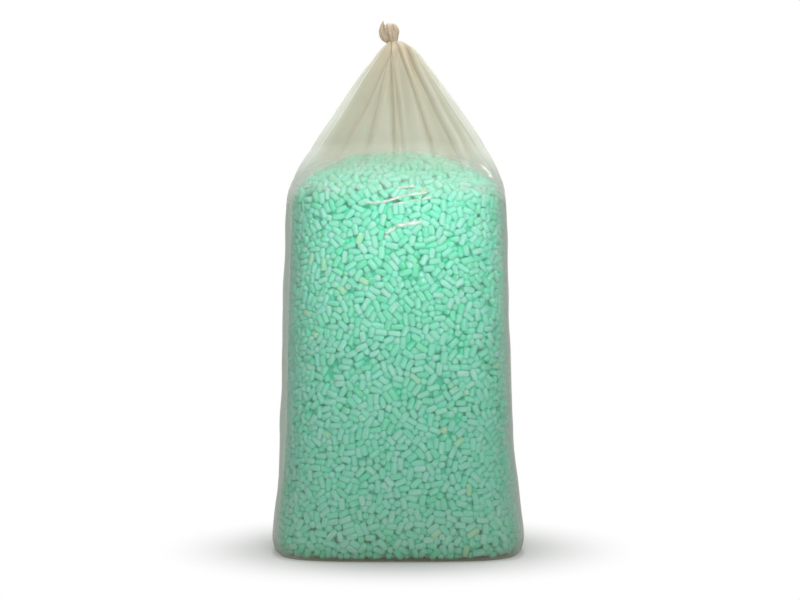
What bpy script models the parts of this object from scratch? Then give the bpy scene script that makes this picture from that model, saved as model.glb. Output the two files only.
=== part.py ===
"""A tall clear film sack of packing peanuts, standing on its base with its neck tied in a knot.

The sack is one tube of thin film, welded flat at the bottom and gathered at the top. Its neck is
tied in an overhand knot in itself. The peanuts are short foamed rods. Those on top of the heap
lie loose as pieces of their own, and all the others are one knobbly heap.
Units are metres, +Z is up, and the front of the sack faces -Y.
"""
import math
import random
from dataclasses import dataclass

import bmesh
import bpy
from mathutils import Matrix, Vector
from mathutils.bvhtree import BVHTree

MM = 0.001

# Film
FILM_THICKNESS = 0.1 * MM

# Standing base of the sack. Each rise is measured from the level named just before it
FLOOR_HALF_WIDTH = 0.349
FLOOR_HALF_DEPTH = 0.290
EDGE_RISE = 0.012
EDGE_HALF_WIDTH = 0.362
EDGE_HALF_DEPTH = 0.302
BULGE_RISE = 0.038
BULGE_HALF_WIDTH = 0.3695
BULGE_HALF_DEPTH = 0.310
HEEL_RISE = 0.150
HEEL_HALF_WIDTH = 0.3585
HEEL_HALF_DEPTH = 0.301

# Filled body of the sack
BELLY_RISE = 0.140
BELLY_HALF_WIDTH = 0.347
BELLY_HALF_DEPTH = 0.294
WAIST_RISE = 0.400
WAIST_HALF_WIDTH = 0.337
WAIST_HALF_DEPTH = 0.287
SHOULDER_RISE = 0.300
SHOULDER_HALF_WIDTH = 0.327
SHOULDER_HALF_DEPTH = 0.277

# Empty cone above the heap
ROLL_RISE = 0.058
ROLL_HALF_WIDTH = 0.313
ROLL_HALF_DEPTH = 0.262
CONE_FOOT_RISE = 0.090
CONE_FOOT_HALF_WIDTH = 0.265
CONE_FOOT_HALF_DEPTH = 0.222
CONE_WAIST_RISE = 0.135
CONE_WAIST_HALF_WIDTH = 0.177
CONE_WAIST_HALF_DEPTH = 0.149
CONE_TOP_RISE = 0.135
CONE_TOP_HALF_WIDTH = 0.079
CONE_TOP_HALF_DEPTH = 0.069
HOOD_RISE = 0.039
HOOD_HALF_WIDTH = 0.045
HOOD_HALF_DEPTH = 0.041
THROAT_RISE = 0.014
THROAT_RADIUS = 0.025

# How far each level leans sideways
HEEL_SHIFT = -0.001
BELLY_SHIFT = -0.005
WAIST_SHIFT = -0.007
SHOULDER_SHIFT = -0.006
ROLL_SHIFT = -0.002
CONE_WAIST_SHIFT = 0.001
HOOD_SHIFT = -0.002
THROAT_SHIFT = -0.009

# How square the sack is in plan: 2 is an ellipse, and more is nearer to a rectangle
BASE_SQUARENESS = 4.2
BODY_SQUARENESS = 3.0
CONE_SQUARENESS = 2.2
HOOD_SQUARENESS = 2.0

# Pleats of the gathered cone, and the slow buckles of the filled wall
PLEAT_COUNT = 10
PLEAT_SHARE_AT_ROLL = 0.012
PLEAT_SHARE_AT_FOOT = 0.035
PLEAT_SHARE_AT_WAIST = 0.120
PLEAT_SHARE_AT_TOP = 0.240
SHALLOWEST_PLEAT = 0.35
BUCKLE_DEPTH = 0.003
BUCKLE_LENGTH = 0.330
BUCKLES_ROUND = 5
BUCKLE_SWAY = 3
BUCKLE_SWAYS_ROUND = 2
BUCKLE_START = 1.3

# Gathered neck and its overhand knot, which winds round a ring as a trefoil does
BUNDLE_RADIUS = 0.0059
NECK_FLARE = 0.0030
FLARE_END_SHARE = 0.04
CHANNEL_RADIUS = 0.0012
THROAT_INSIDE_SHARE = 0.45
GATHER_SHARE = 0.62
STRAND_GAP = 0.0014
RING_PITCHES = 1.12
TUBE_PITCHES = 0.56
KNOT_DEPTH_STRETCH = 1.12
NECK_CUT = 0.42
TAIL_CUT = 0.60
NECK_RISE = 0.0085
NECK_SHIFT = -0.0130
NECK_BACK = 0.5
NECK_SWING = 0.3
NECK_SWING_SHARE = 0.24
KNOT_RISE = 0.0230
KNOT_SHIFT = -0.0245
TAIL_RISE = 0.0310
TAIL_TIP_RADIUS = 0.0028
TAIL_THIN_SHARE = 0.80
TAIL_STAND_OFF = 0.0062
TAIL_TURN_RADIUS = 0.0072
TAIL_TURN_START = math.radians(18)
TAIL_LEAN = 0.0050
TAIL_BOW = 0.3
TAIL_BOW_SHARE = 0.35
TAIL_STRAIGHT_SHARE = 0.7

# Heap of packing peanuts
PEANUT_RADIUS = 0.0085
PEANUT_LENGTHS = (0.030, 0.034, 0.038)
PEANUT_RIM_BEVEL = 0.0030
LOOSE_PEANUTS = 34
HEAP_EDGE_DROP = 0.012
HEAP_CROWN_RISE = 0.135
KNOB_HEIGHT = 0.014
KNOB_PITCH = 0.085
UNEVEN_KNOB_SHARE = 0.25
SHALLOWEST_HOLLOW_SHARE = 0.75
KNOB_SCATTER = 0.008
HEAP_FLOOR_GAP = 0.0003
HEAP_WALL_GAP = 0.0025
SEAT_GAP = 0.0003
SEAT_STEP = 0.0001
LOOSE_REACH = 0.82

# Fineness of the meshes
FILM_COLUMNS = 4 * PLEAT_COUNT
BUNDLE_COLUMNS = FILM_COLUMNS // 4
LOWEST_ROW_SHARE = 0.35
BODY_ROWS = 8
CONE_ROWS = 11
HOOD_ROW_SHARE = 0.6
BUNDLE_RINGS = 37
KNOT_STEPS = 20
TAIL_TURN_STEPS = 5
HEAP_COLUMNS = 48
FEWEST_CROWN_COLUMNS = 8
CROWN_ROW_PITCH = 0.038
CLOSEST_CROWN_SHARE = 0.7
CURVE_PARTS = 8
PEANUT_SIDES = 8
SAMPLE_RINGS = 10
SAMPLE_SIDES = 4 * PEANUT_SIDES
SAME_LEVEL = 0.1 * MM
SEED = 11

# Levels worked out from the rises
EDGE_HEIGHT = EDGE_RISE
BULGE_HEIGHT = EDGE_HEIGHT + BULGE_RISE
HEEL_HEIGHT = BULGE_HEIGHT + HEEL_RISE
BELLY_HEIGHT = HEEL_HEIGHT + BELLY_RISE
WAIST_HEIGHT = BELLY_HEIGHT + WAIST_RISE
SHOULDER_HEIGHT = WAIST_HEIGHT + SHOULDER_RISE
ROLL_HEIGHT = SHOULDER_HEIGHT + ROLL_RISE
CONE_FOOT_HEIGHT = ROLL_HEIGHT + CONE_FOOT_RISE
CONE_WAIST_HEIGHT = CONE_FOOT_HEIGHT + CONE_WAIST_RISE
CONE_TOP_HEIGHT = CONE_WAIST_HEIGHT + CONE_TOP_RISE
HOOD_HEIGHT = CONE_TOP_HEIGHT + HOOD_RISE
THROAT_HEIGHT = HOOD_HEIGHT + THROAT_RISE
NECK_HEIGHT = THROAT_HEIGHT + NECK_RISE
KNOT_HEIGHT = NECK_HEIGHT + KNOT_RISE
TAIL_TIP_HEIGHT = KNOT_HEIGHT + TAIL_RISE
HEAP_EDGE_HEIGHT = SHOULDER_HEIGHT - HEAP_EDGE_DROP
HEAP_CROWN_HEIGHT = HEAP_EDGE_HEIGHT + HEAP_CROWN_RISE


@dataclass(frozen=True)
class Station:
    """One level of the sack's outline: its height, half sizes, sideways shift, plan shape and pleats."""

    height: float
    half_width: float
    half_depth: float
    shift: float
    squareness: float
    pleat: float


STATIONS = (
    Station(0.0, FLOOR_HALF_WIDTH, FLOOR_HALF_DEPTH, 0.0, BASE_SQUARENESS, 0.0),
    Station(EDGE_HEIGHT, EDGE_HALF_WIDTH, EDGE_HALF_DEPTH, 0.0, BASE_SQUARENESS, 0.0),
    Station(BULGE_HEIGHT, BULGE_HALF_WIDTH, BULGE_HALF_DEPTH, 0.0, BASE_SQUARENESS, 0.0),
    Station(HEEL_HEIGHT, HEEL_HALF_WIDTH, HEEL_HALF_DEPTH, HEEL_SHIFT, BODY_SQUARENESS, 0.0),
    Station(BELLY_HEIGHT, BELLY_HALF_WIDTH, BELLY_HALF_DEPTH, BELLY_SHIFT, BODY_SQUARENESS, 0.0),
    Station(WAIST_HEIGHT, WAIST_HALF_WIDTH, WAIST_HALF_DEPTH, WAIST_SHIFT, BODY_SQUARENESS, 0.0),
    Station(SHOULDER_HEIGHT, SHOULDER_HALF_WIDTH, SHOULDER_HALF_DEPTH, SHOULDER_SHIFT, BODY_SQUARENESS,
            0.0),
    Station(ROLL_HEIGHT, ROLL_HALF_WIDTH, ROLL_HALF_DEPTH, ROLL_SHIFT, BODY_SQUARENESS,
            PLEAT_SHARE_AT_ROLL),
    Station(CONE_FOOT_HEIGHT, CONE_FOOT_HALF_WIDTH, CONE_FOOT_HALF_DEPTH, 0.0, CONE_SQUARENESS,
            PLEAT_SHARE_AT_FOOT),
    Station(CONE_WAIST_HEIGHT, CONE_WAIST_HALF_WIDTH, CONE_WAIST_HALF_DEPTH, CONE_WAIST_SHIFT,
            CONE_SQUARENESS, PLEAT_SHARE_AT_WAIST),
    Station(CONE_TOP_HEIGHT, CONE_TOP_HALF_WIDTH, CONE_TOP_HALF_DEPTH, 0.0, HOOD_SQUARENESS,
            PLEAT_SHARE_AT_TOP),
    Station(HOOD_HEIGHT, HOOD_HALF_WIDTH, HOOD_HALF_DEPTH, HOOD_SHIFT, HOOD_SQUARENESS,
            PLEAT_SHARE_AT_TOP),
    Station(THROAT_HEIGHT, THROAT_RADIUS, THROAT_RADIUS, THROAT_SHIFT, HOOD_SQUARENESS,
            PLEAT_SHARE_AT_TOP),
)


def clear_scene():
    """Removes every object that the file holds."""
    for thing in list(bpy.data.objects):
        bpy.data.objects.remove(thing, do_unlink=True)


def material(name, colour, roughness, alpha=1.0):
    """A plain Principled material."""
    made = bpy.data.materials.new(name)
    made.use_nodes = True
    shader = made.node_tree.nodes["Principled BSDF"]
    shader.inputs["Base Color"].default_value = (*colour, 1.0)
    shader.inputs["Roughness"].default_value = roughness
    shader.inputs["Alpha"].default_value = alpha
    made.diffuse_color = (*colour, alpha)
    return made


def object_from(name, points, faces, look):
    """Makes one object from points and faces and puts it in the scene."""
    mesh = bpy.data.meshes.new(name)
    mesh.from_pydata(points, [], faces)
    mesh.update()
    mesh.shade_smooth()
    mesh.materials.append(look)
    made = bpy.data.objects.new(name, mesh)
    bpy.context.scene.collection.objects.link(made)
    return made


def mix(first, second, share):
    """A value between two others."""
    return first + (second - first) * share


def through(values, index, share):
    """A smooth curve through values, read at a share of the way from one to the next."""
    before = values[max(index - 1, 0)]
    start = values[index]
    end = values[index + 1]
    after = values[min(index + 2, len(values) - 1)]
    return 0.5 * (
        2 * start
        + (end - before) * share
        + (2 * before - 5 * start + 4 * end - after) * share**2
        + (3 * start - before - 3 * end + after) * share**3
    )


def outline_at(height):
    """The sack's outline at a height, between its stations."""
    index = 0
    while index < len(STATIONS) - 2 and height > STATIONS[index + 1].height:
        index += 1
    low = STATIONS[index]
    high = STATIONS[index + 1]
    share = (height - low.height) / (high.height - low.height)
    smooth = share * share * (3 - 2 * share)
    return Station(
        height,
        through([station.half_width for station in STATIONS], index, share),
        through([station.half_depth for station in STATIONS], index, share),
        mix(low.shift, high.shift, smooth),
        mix(low.squareness, high.squareness, smooth),
        mix(low.pleat, high.pleat, smooth),
    )


def pleat_depths():
    """How deep each pleat is, up to 1, drawn once so that a pleat keeps its depth all the way up."""
    draw = random.Random(SEED)
    return [draw.uniform(SHALLOWEST_PLEAT, 1.0) for _ in range(PLEAT_COUNT)]


PLEAT_DEPTHS = pleat_depths()


def sack_point(height, angle):
    """A point on the outside of the sack."""
    here = outline_at(height)
    across = abs(math.cos(angle) / here.half_width) ** here.squareness
    deep = abs(math.sin(angle) / here.half_depth) ** here.squareness
    radius = (across + deep) ** (-1 / here.squareness)
    turn = angle / math.tau * PLEAT_COUNT
    fold = 0.5 - 0.5 * math.cos(math.tau * turn)
    radius *= 1 - here.pleat * fold * PLEAT_DEPTHS[int(turn) % PLEAT_COUNT]
    filled = min(max((height - BULGE_HEIGHT) / HEEL_RISE, 0), 1)
    sway = BUCKLE_SWAY * math.sin(BUCKLE_SWAYS_ROUND * angle)
    wave = math.sin(math.tau * height / BUCKLE_LENGTH + sway)
    wave *= math.sin(BUCKLES_ROUND * angle + BUCKLE_START)
    radius -= BUCKLE_DEPTH * filled * (0.5 + 0.5 * wave)
    return Vector((here.shift + radius * math.cos(angle), radius * math.sin(angle), height))


def film_heights():
    """The heights of the film's rings, close together where it bends."""
    heights = [0.0, LOWEST_ROW_SHARE * EDGE_HEIGHT, EDGE_HEIGHT, (EDGE_HEIGHT + BULGE_HEIGHT) / 2]
    heights += [mix(BULGE_HEIGHT, SHOULDER_HEIGHT, row / BODY_ROWS) for row in range(BODY_ROWS + 1)]
    heights += [mix(SHOULDER_HEIGHT, HOOD_HEIGHT, row / CONE_ROWS) for row in range(1, CONE_ROWS + 1)]
    return heights + [mix(HOOD_HEIGHT, THROAT_HEIGHT, HOOD_ROW_SHARE), THROAT_HEIGHT]


def film_rings():
    """The outside rings of the film, from the floor to the throat."""
    angles = [math.tau * column / FILM_COLUMNS for column in range(FILM_COLUMNS)]
    return [[sack_point(height, angle) for angle in angles] for height in film_heights()]


def knot_route():
    """The middle line of the gathered neck, through its overhand knot, to the tip of its tail."""
    pitch = 2 * BUNDLE_RADIUS + STRAND_GAP
    ring = RING_PITCHES * pitch
    tube = TUBE_PITCHES * pitch
    depth = KNOT_DEPTH_STRETCH * tube
    swung = mix(NECK_BACK, 1, NECK_SWING) * depth
    route = [
        Vector((NECK_SHIFT, NECK_BACK * depth, NECK_HEIGHT)),
        Vector((NECK_SHIFT, swung, mix(NECK_HEIGHT, KNOT_HEIGHT, NECK_SWING_SHARE))),
    ]
    for step in range(KNOT_STEPS + 1):
        turn = NECK_CUT + (math.tau - NECK_CUT - TAIL_CUT) * step / KNOT_STEPS
        radius = ring + tube * math.cos(3 * turn)
        around = 2 * turn - math.pi / 2
        route.append(Vector((
            KNOT_SHIFT + radius * math.cos(around),
            depth * math.sin(3 * turn),
            KNOT_HEIGHT + radius * math.sin(around),
        )))
    end = route[-1]
    turn_x = end.x - TAIL_TURN_RADIUS * math.cos(TAIL_TURN_START)
    turn_z = end.z + TAIL_TURN_RADIUS * math.sin(TAIL_TURN_START)
    for step in range(1, TAIL_TURN_STEPS + 1):
        share = step / TAIL_TURN_STEPS
        angle = mix(-TAIL_TURN_START, -math.pi, share)
        route.append(Vector((
            turn_x + TAIL_TURN_RADIUS * math.cos(angle),
            end.y - TAIL_STAND_OFF * share,
            turn_z + TAIL_TURN_RADIUS * math.sin(angle),
        )))
    foot = route[-1].copy()
    tip = Vector((foot.x + TAIL_LEAN, foot.y, TAIL_TIP_HEIGHT))
    bowed = foot.lerp(tip, TAIL_BOW_SHARE) - Vector((TAIL_BOW * TAIL_LEAN, 0, 0))
    return route + [bowed, foot.lerp(tip, TAIL_STRAIGHT_SHARE), tip]


def spread(points, count):
    """Reads a smooth curve through points at evenly spaced places."""
    fine = []
    for index in range(len(points) - 1):
        fine += [through(points, index, part / CURVE_PARTS) for part in range(CURVE_PARTS)]
    fine.append(points[-1].copy())
    lengths = [0.0]
    for start, end in zip(fine, fine[1:]):
        lengths.append(lengths[-1] + (end - start).length)
    read = []
    index = 0
    for step in range(count):
        wanted = lengths[-1] * step / (count - 1)
        while index < len(fine) - 2 and lengths[index + 1] < wanted:
            index += 1
        share = (wanted - lengths[index]) / (lengths[index + 1] - lengths[index])
        read.append(fine[index].lerp(fine[index + 1], share))
    return read


def bundle_rings(radius_at):
    """Rings round the knot's route. radius_at gives the radius at a share of the way along it."""
    route = spread(knot_route(), BUNDLE_RINGS)
    last = len(route) - 1
    side = Vector((1, 0, 0))
    rings = []
    for index, centre in enumerate(route):
        ahead = (route[min(index + 1, last)] - route[max(index - 1, 0)]).normalized()
        if index == 0:
            ahead = Vector((0, 0, 1))
        side = (side - ahead * side.dot(ahead)).normalized()
        up = ahead.cross(side)
        radius = radius_at(index / last)
        angles = [math.tau * column / BUNDLE_COLUMNS for column in range(BUNDLE_COLUMNS)]
        rings.append([centre + (side * math.cos(a) + up * math.sin(a)) * radius for a in angles])
    return rings


def bundle_radius(share):
    """The gathered neck is thicker where it leaves the sack, and its tail thins out to the tip."""
    flare = max(0.0, 1 - share / FLARE_END_SHARE)
    thin = max(0.0, (share - TAIL_THIN_SHARE) / (1 - TAIL_THIN_SHARE))
    return mix(BUNDLE_RADIUS, TAIL_TIP_RADIUS, thin) + NECK_FLARE * flare


def channel_radius(share):
    """The narrow way that is left in the middle of the gathered film, down to the tail's mouth."""
    return mix(CHANNEL_RADIUS, min(CHANNEL_RADIUS, 0.5 * TAIL_TIP_RADIUS), share)


def moved_in(rings, distance):
    """The same rings moved into the film by its thickness, along the surface's normals."""
    inner = []
    for row, ring in enumerate(rings):
        above = rings[min(row + 1, len(rings) - 1)]
        below = rings[max(row - 1, 0)]
        moved = []
        for column, point in enumerate(ring):
            along = ring[(column + 1) % len(ring)] - ring[column - 1]
            upward = above[column] - below[column]
            moved.append(point - along.cross(upward).normalized() * distance)
        inner.append(moved)
    return inner


def middle_of(ring):
    """The middle of a ring."""
    return sum(ring, Vector()) / len(ring)


def drawn_in(ring, share):
    """The same ring, smaller about its own middle."""
    middle = middle_of(ring)
    return [middle.lerp(point, share) for point in ring]


def halved(ring, target, share):
    """A ring of half as many points, a share of the way from one ring to a smaller one above it."""
    aim = middle_of(target)
    radius = (target[0] - aim).length
    made = []
    for index in range(len(ring) // 2):
        angle = math.tau * index / (len(ring) // 2)
        end = aim + Vector((math.cos(angle), math.sin(angle), 0)) * radius
        made.append(ring[2 * index].lerp(end, share))
    return made


def stitch(faces, lower, upper, mirrored):
    """Adds the triangles between two rings of point numbers. One may have twice as many as the other.

    mirrored splits each four-sided face along its other diagonal.
    """
    few = min(len(lower), len(upper))
    for index in range(few):
        after = (index + 1) % few
        if len(lower) == len(upper) and mirrored:
            faces.append((lower[index], lower[after], upper[index]))
            faces.append((lower[after], upper[after], upper[index]))
        elif len(lower) == len(upper):
            faces.append((lower[index], lower[after], upper[after]))
            faces.append((lower[index], upper[after], upper[index]))
        elif len(lower) > len(upper):
            start, middle, end = lower[2 * index], lower[2 * index + 1], lower[2 * after]
            faces.append((start, middle, upper[index]))
            faces.append((middle, upper[after], upper[index]))
            faces.append((middle, end, upper[after]))
        else:
            start, middle, end = upper[2 * index], upper[2 * index + 1], upper[2 * after]
            faces.append((lower[index], middle, start))
            faces.append((lower[index], lower[after], middle))
            faces.append((lower[after], end, middle))


def lofted(rings, first, last, mouth=None):
    """Points and faces of one closed surface: a fan at first, the rings in order, a fan at last.

    Past the ring numbered mouth the surface comes back down its own inside, where it splits its
    faces as the outside does, so that the thin wall between the two never crosses itself.
    """
    points = [first]
    faces = []
    numbered = []
    for ring in rings:
        numbered.append(list(range(len(points), len(points) + len(ring))))
        points += ring
    start = numbered[0]
    faces += [(0, start[(index + 1) % len(start)], start[index]) for index in range(len(start))]
    for row, (lower, upper) in enumerate(zip(numbered, numbered[1:])):
        stitch(faces, lower, upper, mirrored=mouth is not None and row >= mouth)
    end = numbered[-1]
    faces += [(len(points), end[index], end[(index + 1) % len(end)]) for index in range(len(end))]
    return points + [last], faces


def build_film_sack(look):
    """The film sack: its outside up to the mouth of the tail, then down the channel and the inside."""
    outside = film_rings()
    inside = moved_in(outside, FILM_THICKNESS)
    for point in inside[0]:
        point.z = FILM_THICKNESS
    bundle = bundle_rings(bundle_radius)
    channel = bundle_rings(channel_radius)
    inside[-1] = drawn_in(outside[-1], THROAT_INSIDE_SHARE)
    gather = halved(outside[-1], bundle[0], GATHER_SHARE)
    gather_inside = halved(inside[-1], channel[0], GATHER_SHARE)
    rings = outside + [gather] + bundle + channel[::-1] + [gather_inside] + inside[::-1]
    mouth = len(rings) // 2
    points, faces = lofted(rings, Vector((0, 0, 0)), Vector((0, 0, FILM_THICKNESS)), mouth)
    return object_from("film_sack", points, faces, look)


def wall_point(rings, heights, height, share):
    """A point on the flat faces of the film, by height and by its share of the way round."""
    row = 0
    while row < len(heights) - 2 and height > heights[row + 1]:
        row += 1
    rise = (height - heights[row]) / (heights[row + 1] - heights[row])
    place = share * FILM_COLUMNS
    column = int(place) % FILM_COLUMNS
    after = (column + 1) % FILM_COLUMNS
    low = rings[row][column].lerp(rings[row][after], place - int(place))
    high = rings[row + 1][column].lerp(rings[row + 1][after], place - int(place))
    return low.lerp(high, rise)


def hollow(row, column, draw):
    """How deep the heap's surface lies there: little on a knob, and most of a knob's height beside it.

    A knob is a clump of peanuts that stands out. Every second row has them, at every second column,
    and each row of knobs is shifted by a column from the one before.
    """
    if row % 2 == 0 and (column + row // 2) % 2 == 0:
        return KNOB_HEIGHT * UNEVEN_KNOB_SHARE * draw.random()
    return KNOB_HEIGHT * draw.uniform(SHALLOWEST_HOLLOW_SHARE, 1)


def heap_wall(draw):
    """The rings of the heap's wall: a gap inside the film, with its knobs and the hollows between."""
    heights = film_heights()
    rings = film_rings()
    floor = FILM_THICKNESS + HEAP_FLOOR_GAP
    rows = round((HEAP_EDGE_HEIGHT - floor) / (KNOB_PITCH / 2))
    wall = []
    for row in range(rows + 1):
        height = mix(floor, HEAP_EDGE_HEIGHT, row / rows)
        ring = []
        for column in range(HEAP_COLUMNS):
            point = wall_point(rings, heights, height, column / HEAP_COLUMNS)
            inward = FILM_THICKNESS + HEAP_WALL_GAP + hollow(row, column, draw)
            point.xy *= 1 - inward / point.xy.length
            lift = KNOB_SCATTER * (draw.random() - 0.5)
            point.z = height + (lift if row else 0)
            ring.append(point)
        wall.append(ring)
    return wall


def heap_crown(edge, draw):
    """The rings of the heap's domed top, with fewer points as they close in."""
    steps = round(SHOULDER_HALF_WIDTH / CROWN_ROW_PITCH)
    crown = []
    count = HEAP_COLUMNS
    for step in range(1, steps):
        share = step / steps
        around = math.tau * SHOULDER_HALF_WIDTH * (1 - share)
        if count > FEWEST_CROWN_COLUMNS and around / count < CLOSEST_CROWN_SHARE * CROWN_ROW_PITCH:
            count //= 2
        rise = mix(HEAP_EDGE_HEIGHT, HEAP_CROWN_HEIGHT, math.sin(share * math.pi / 2))
        ring = []
        for column, point in enumerate(edge[:: HEAP_COLUMNS // count]):
            height = rise - hollow(step, column, draw)
            ring.append(Vector((point.x * (1 - share), point.y * (1 - share), height)))
        crown.append(ring)
    return crown


def build_heap(look):
    """The heap of peanuts below the loose ones, as one knobbly solid."""
    draw = random.Random(SEED)
    wall = heap_wall(draw)
    rings = wall + heap_crown(wall[-1], draw)
    floor = Vector((0, 0, FILM_THICKNESS + HEAP_FLOOR_GAP))
    points, faces = lofted(rings, floor, Vector((0, 0, HEAP_CROWN_HEIGHT)))
    return object_from("peanut_heap", points, faces, look)


def peanut_mesh(name, length, look):
    """A short foamed rod with rounded rims."""
    shape = bmesh.new()
    bmesh.ops.create_cone(
        shape,
        cap_ends=True,
        segments=PEANUT_SIDES,
        radius1=PEANUT_RADIUS,
        radius2=PEANUT_RADIUS,
        depth=length,
    )
    rims = [edge for edge in shape.edges if abs(edge.verts[0].co.z - edge.verts[1].co.z) < SAME_LEVEL]
    bmesh.ops.bevel(shape, geom=rims, offset=PEANUT_RIM_BEVEL, segments=1, affect="EDGES")
    mesh = bpy.data.meshes.new(name)
    shape.to_mesh(mesh)
    shape.free()
    mesh.shade_smooth()
    mesh.materials.append(look)
    return mesh


def peanut_samples(length):
    """Points all over a peanut's faces, close enough together to find what it touches first."""
    straight = length - 2 * PEANUT_RIM_BEVEL
    rings = [(straight * (step / SAMPLE_RINGS - 0.5), PEANUT_RADIUS) for step in range(SAMPLE_RINGS + 1)]
    for end in (-1, 1):
        rings.append((end * (length - PEANUT_RIM_BEVEL) / 2, PEANUT_RADIUS - PEANUT_RIM_BEVEL / 2))
        rings.append((end * length / 2, PEANUT_RADIUS - PEANUT_RIM_BEVEL))
    half_side = math.pi / PEANUT_SIDES
    made = []
    for along, corner in rings:
        for part in range(SAMPLE_SIDES):
            angle = math.tau * part / SAMPLE_SIDES
            radius = corner * math.cos(half_side) / math.cos(angle % (2 * half_side) - half_side)
            made.append(Vector((radius * math.cos(angle), radius * math.sin(angle), along)))
    return made


def raised(place, rise):
    """The same place, higher up."""
    return Matrix.Translation((0, 0, rise)) @ place


def resting_height(tree, mesh, place, samples):
    """How far a peanut has to rise from this place to rest on the heap."""
    down = Vector((0, 0, -1))
    rises = []
    for sample in samples:
        point = place @ sample
        hit = tree.ray_cast(Vector((point.x, point.y, 2 * HEAP_CROWN_HEIGHT)), down)[0]
        rises.append(hit.z - point.z)
    rise = max(rises)
    faces = [list(face.vertices) for face in mesh.polygons]
    touching = True
    while touching:
        rise += SEAT_STEP
        corners = [raised(place, rise) @ vertex.co for vertex in mesh.vertices]
        touching = bool(tree.overlap(BVHTree.FromPolygons(corners, faces)))
    return rise + SEAT_GAP


def build_loose_peanuts(heap, look):
    """The whole peanuts that lie on top of the heap, each seated on it with a hair's gap."""
    draw = random.Random(SEED)
    corners = [vertex.co.copy() for vertex in heap.data.vertices]
    tree = BVHTree.FromPolygons(corners, [list(face.vertices) for face in heap.data.polygons])
    meshes = [
        peanut_mesh(f"peanut_length_{kind + 1}", length, look) for kind, length in enumerate(PEANUT_LENGTHS)
    ]
    golden_angle = math.pi * (3 - math.sqrt(5))
    for index in range(LOOSE_PEANUTS):
        kind = index % len(PEANUT_LENGTHS)
        reach = LOOSE_REACH * math.sqrt((index + 0.5) / LOOSE_PEANUTS)
        around = golden_angle * index
        across = reach * SHOULDER_HALF_WIDTH * math.cos(around)
        deep = reach * SHOULDER_HALF_DEPTH * math.sin(around)
        above = Vector((across, deep, 2 * HEAP_CROWN_HEIGHT))
        slope = tree.ray_cast(above, Vector((0, 0, -1)))[1]
        yaw = draw.uniform(0, math.pi)
        along = Vector((math.cos(yaw), math.sin(yaw), 0))
        along = (along - slope * along.dot(slope)).normalized()
        place = Matrix.Translation((across, deep, 0)) @ along.to_track_quat("Z", "Y").to_matrix().to_4x4()
        rise = resting_height(tree, meshes[kind], place, peanut_samples(PEANUT_LENGTHS[kind]))
        thing = bpy.data.objects.new(f"peanut_{index + 1:02d}", meshes[kind])
        thing.matrix_world = raised(place, rise)
        bpy.context.scene.collection.objects.link(thing)


def main():
    """Builds the sack, the heap in it and the loose peanuts on the heap."""
    clear_scene()
    film = material("clear polyethylene film", (0.80, 0.78, 0.70), 0.25, alpha=0.30)
    foam = material("mint foamed starch", (0.36, 0.78, 0.55), 0.75)
    build_film_sack(film)
    heap = build_heap(foam)
    build_loose_peanuts(heap, foam)


if __name__ == "__main__":
    main()
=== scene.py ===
"""A tall clear film sack of packing peanuts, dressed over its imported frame.

The film becomes one thin sheet, with the pleats of its gathered cone, its creases and the knot in its
neck. The heap becomes thousands of foamed rods that lie against the film and on each other.
Units are metres, +Z is up, and the front of the sack faces -Y.
"""
import logging
import math
import random
from dataclasses import dataclass
from enum import Enum

import bpy
import numpy as np
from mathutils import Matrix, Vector


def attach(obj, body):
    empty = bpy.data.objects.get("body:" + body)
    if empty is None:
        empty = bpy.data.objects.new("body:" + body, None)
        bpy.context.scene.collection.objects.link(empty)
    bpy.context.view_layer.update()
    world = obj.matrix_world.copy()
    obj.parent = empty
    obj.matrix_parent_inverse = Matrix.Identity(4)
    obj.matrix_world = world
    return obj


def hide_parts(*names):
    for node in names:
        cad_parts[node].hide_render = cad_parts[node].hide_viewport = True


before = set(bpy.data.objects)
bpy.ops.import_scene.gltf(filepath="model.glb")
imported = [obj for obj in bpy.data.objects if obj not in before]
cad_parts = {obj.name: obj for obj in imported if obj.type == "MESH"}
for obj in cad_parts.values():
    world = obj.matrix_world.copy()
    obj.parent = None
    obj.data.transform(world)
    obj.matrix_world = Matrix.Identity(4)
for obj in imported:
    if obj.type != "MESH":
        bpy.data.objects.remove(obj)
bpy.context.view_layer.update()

log = logging.getLogger("packing_peanut_bag")

TAU = math.tau
MM = 0.001
SEED = 11


class Side(Enum):
    """Which face of the sack a fold lies on."""

    FRONT = -1
    BACK = 1


def linear(colour: str) -> tuple[float, float, float, float]:
    """Turns an sRGB hex colour into linear values.

    Args:
        colour: Six hex digits after a #.

    Returns:
        Red, green, blue and an alpha of 1.
    """
    parts = [int(colour[at:at + 2], 16) / 255 for at in (1, 3, 5)]
    parts = [part / 12.92 if part <= 0.04045 else ((part + 0.055) / 1.055) ** 2.4 for part in parts]
    return (*parts, 1.0)


def add_node(tree: bpy.types.NodeTree, kind: str, settings: dict | None = None,
             inputs: dict | None = None) -> bpy.types.Node:
    """Adds a node with its settings, and sets or links its inputs.

    Args:
        tree: The node tree that gets the node.
        kind: Blender's name for the type of node.
        settings: Values for the node's own properties.
        inputs: A value or another node's output for each input, by its name or number.

    Returns:
        The new node.
    """
    node = tree.nodes.new(kind)
    for name, value in (settings or {}).items():
        setattr(node, name, value)
    for name, value in (inputs or {}).items():
        if isinstance(value, bpy.types.NodeSocket):
            tree.links.new(value, node.inputs[name])
        else:
            node.inputs[name].default_value = value
    return node


def new_material(name: str) -> tuple[bpy.types.Material, bpy.types.NodeTree]:
    """Makes a material with an empty node tree.

    Args:
        name: The material's name.

    Returns:
        The material and its node tree.
    """
    made = bpy.data.materials.new(name)
    made.use_nodes = True
    made.node_tree.nodes.clear()
    return made, made.node_tree


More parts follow.
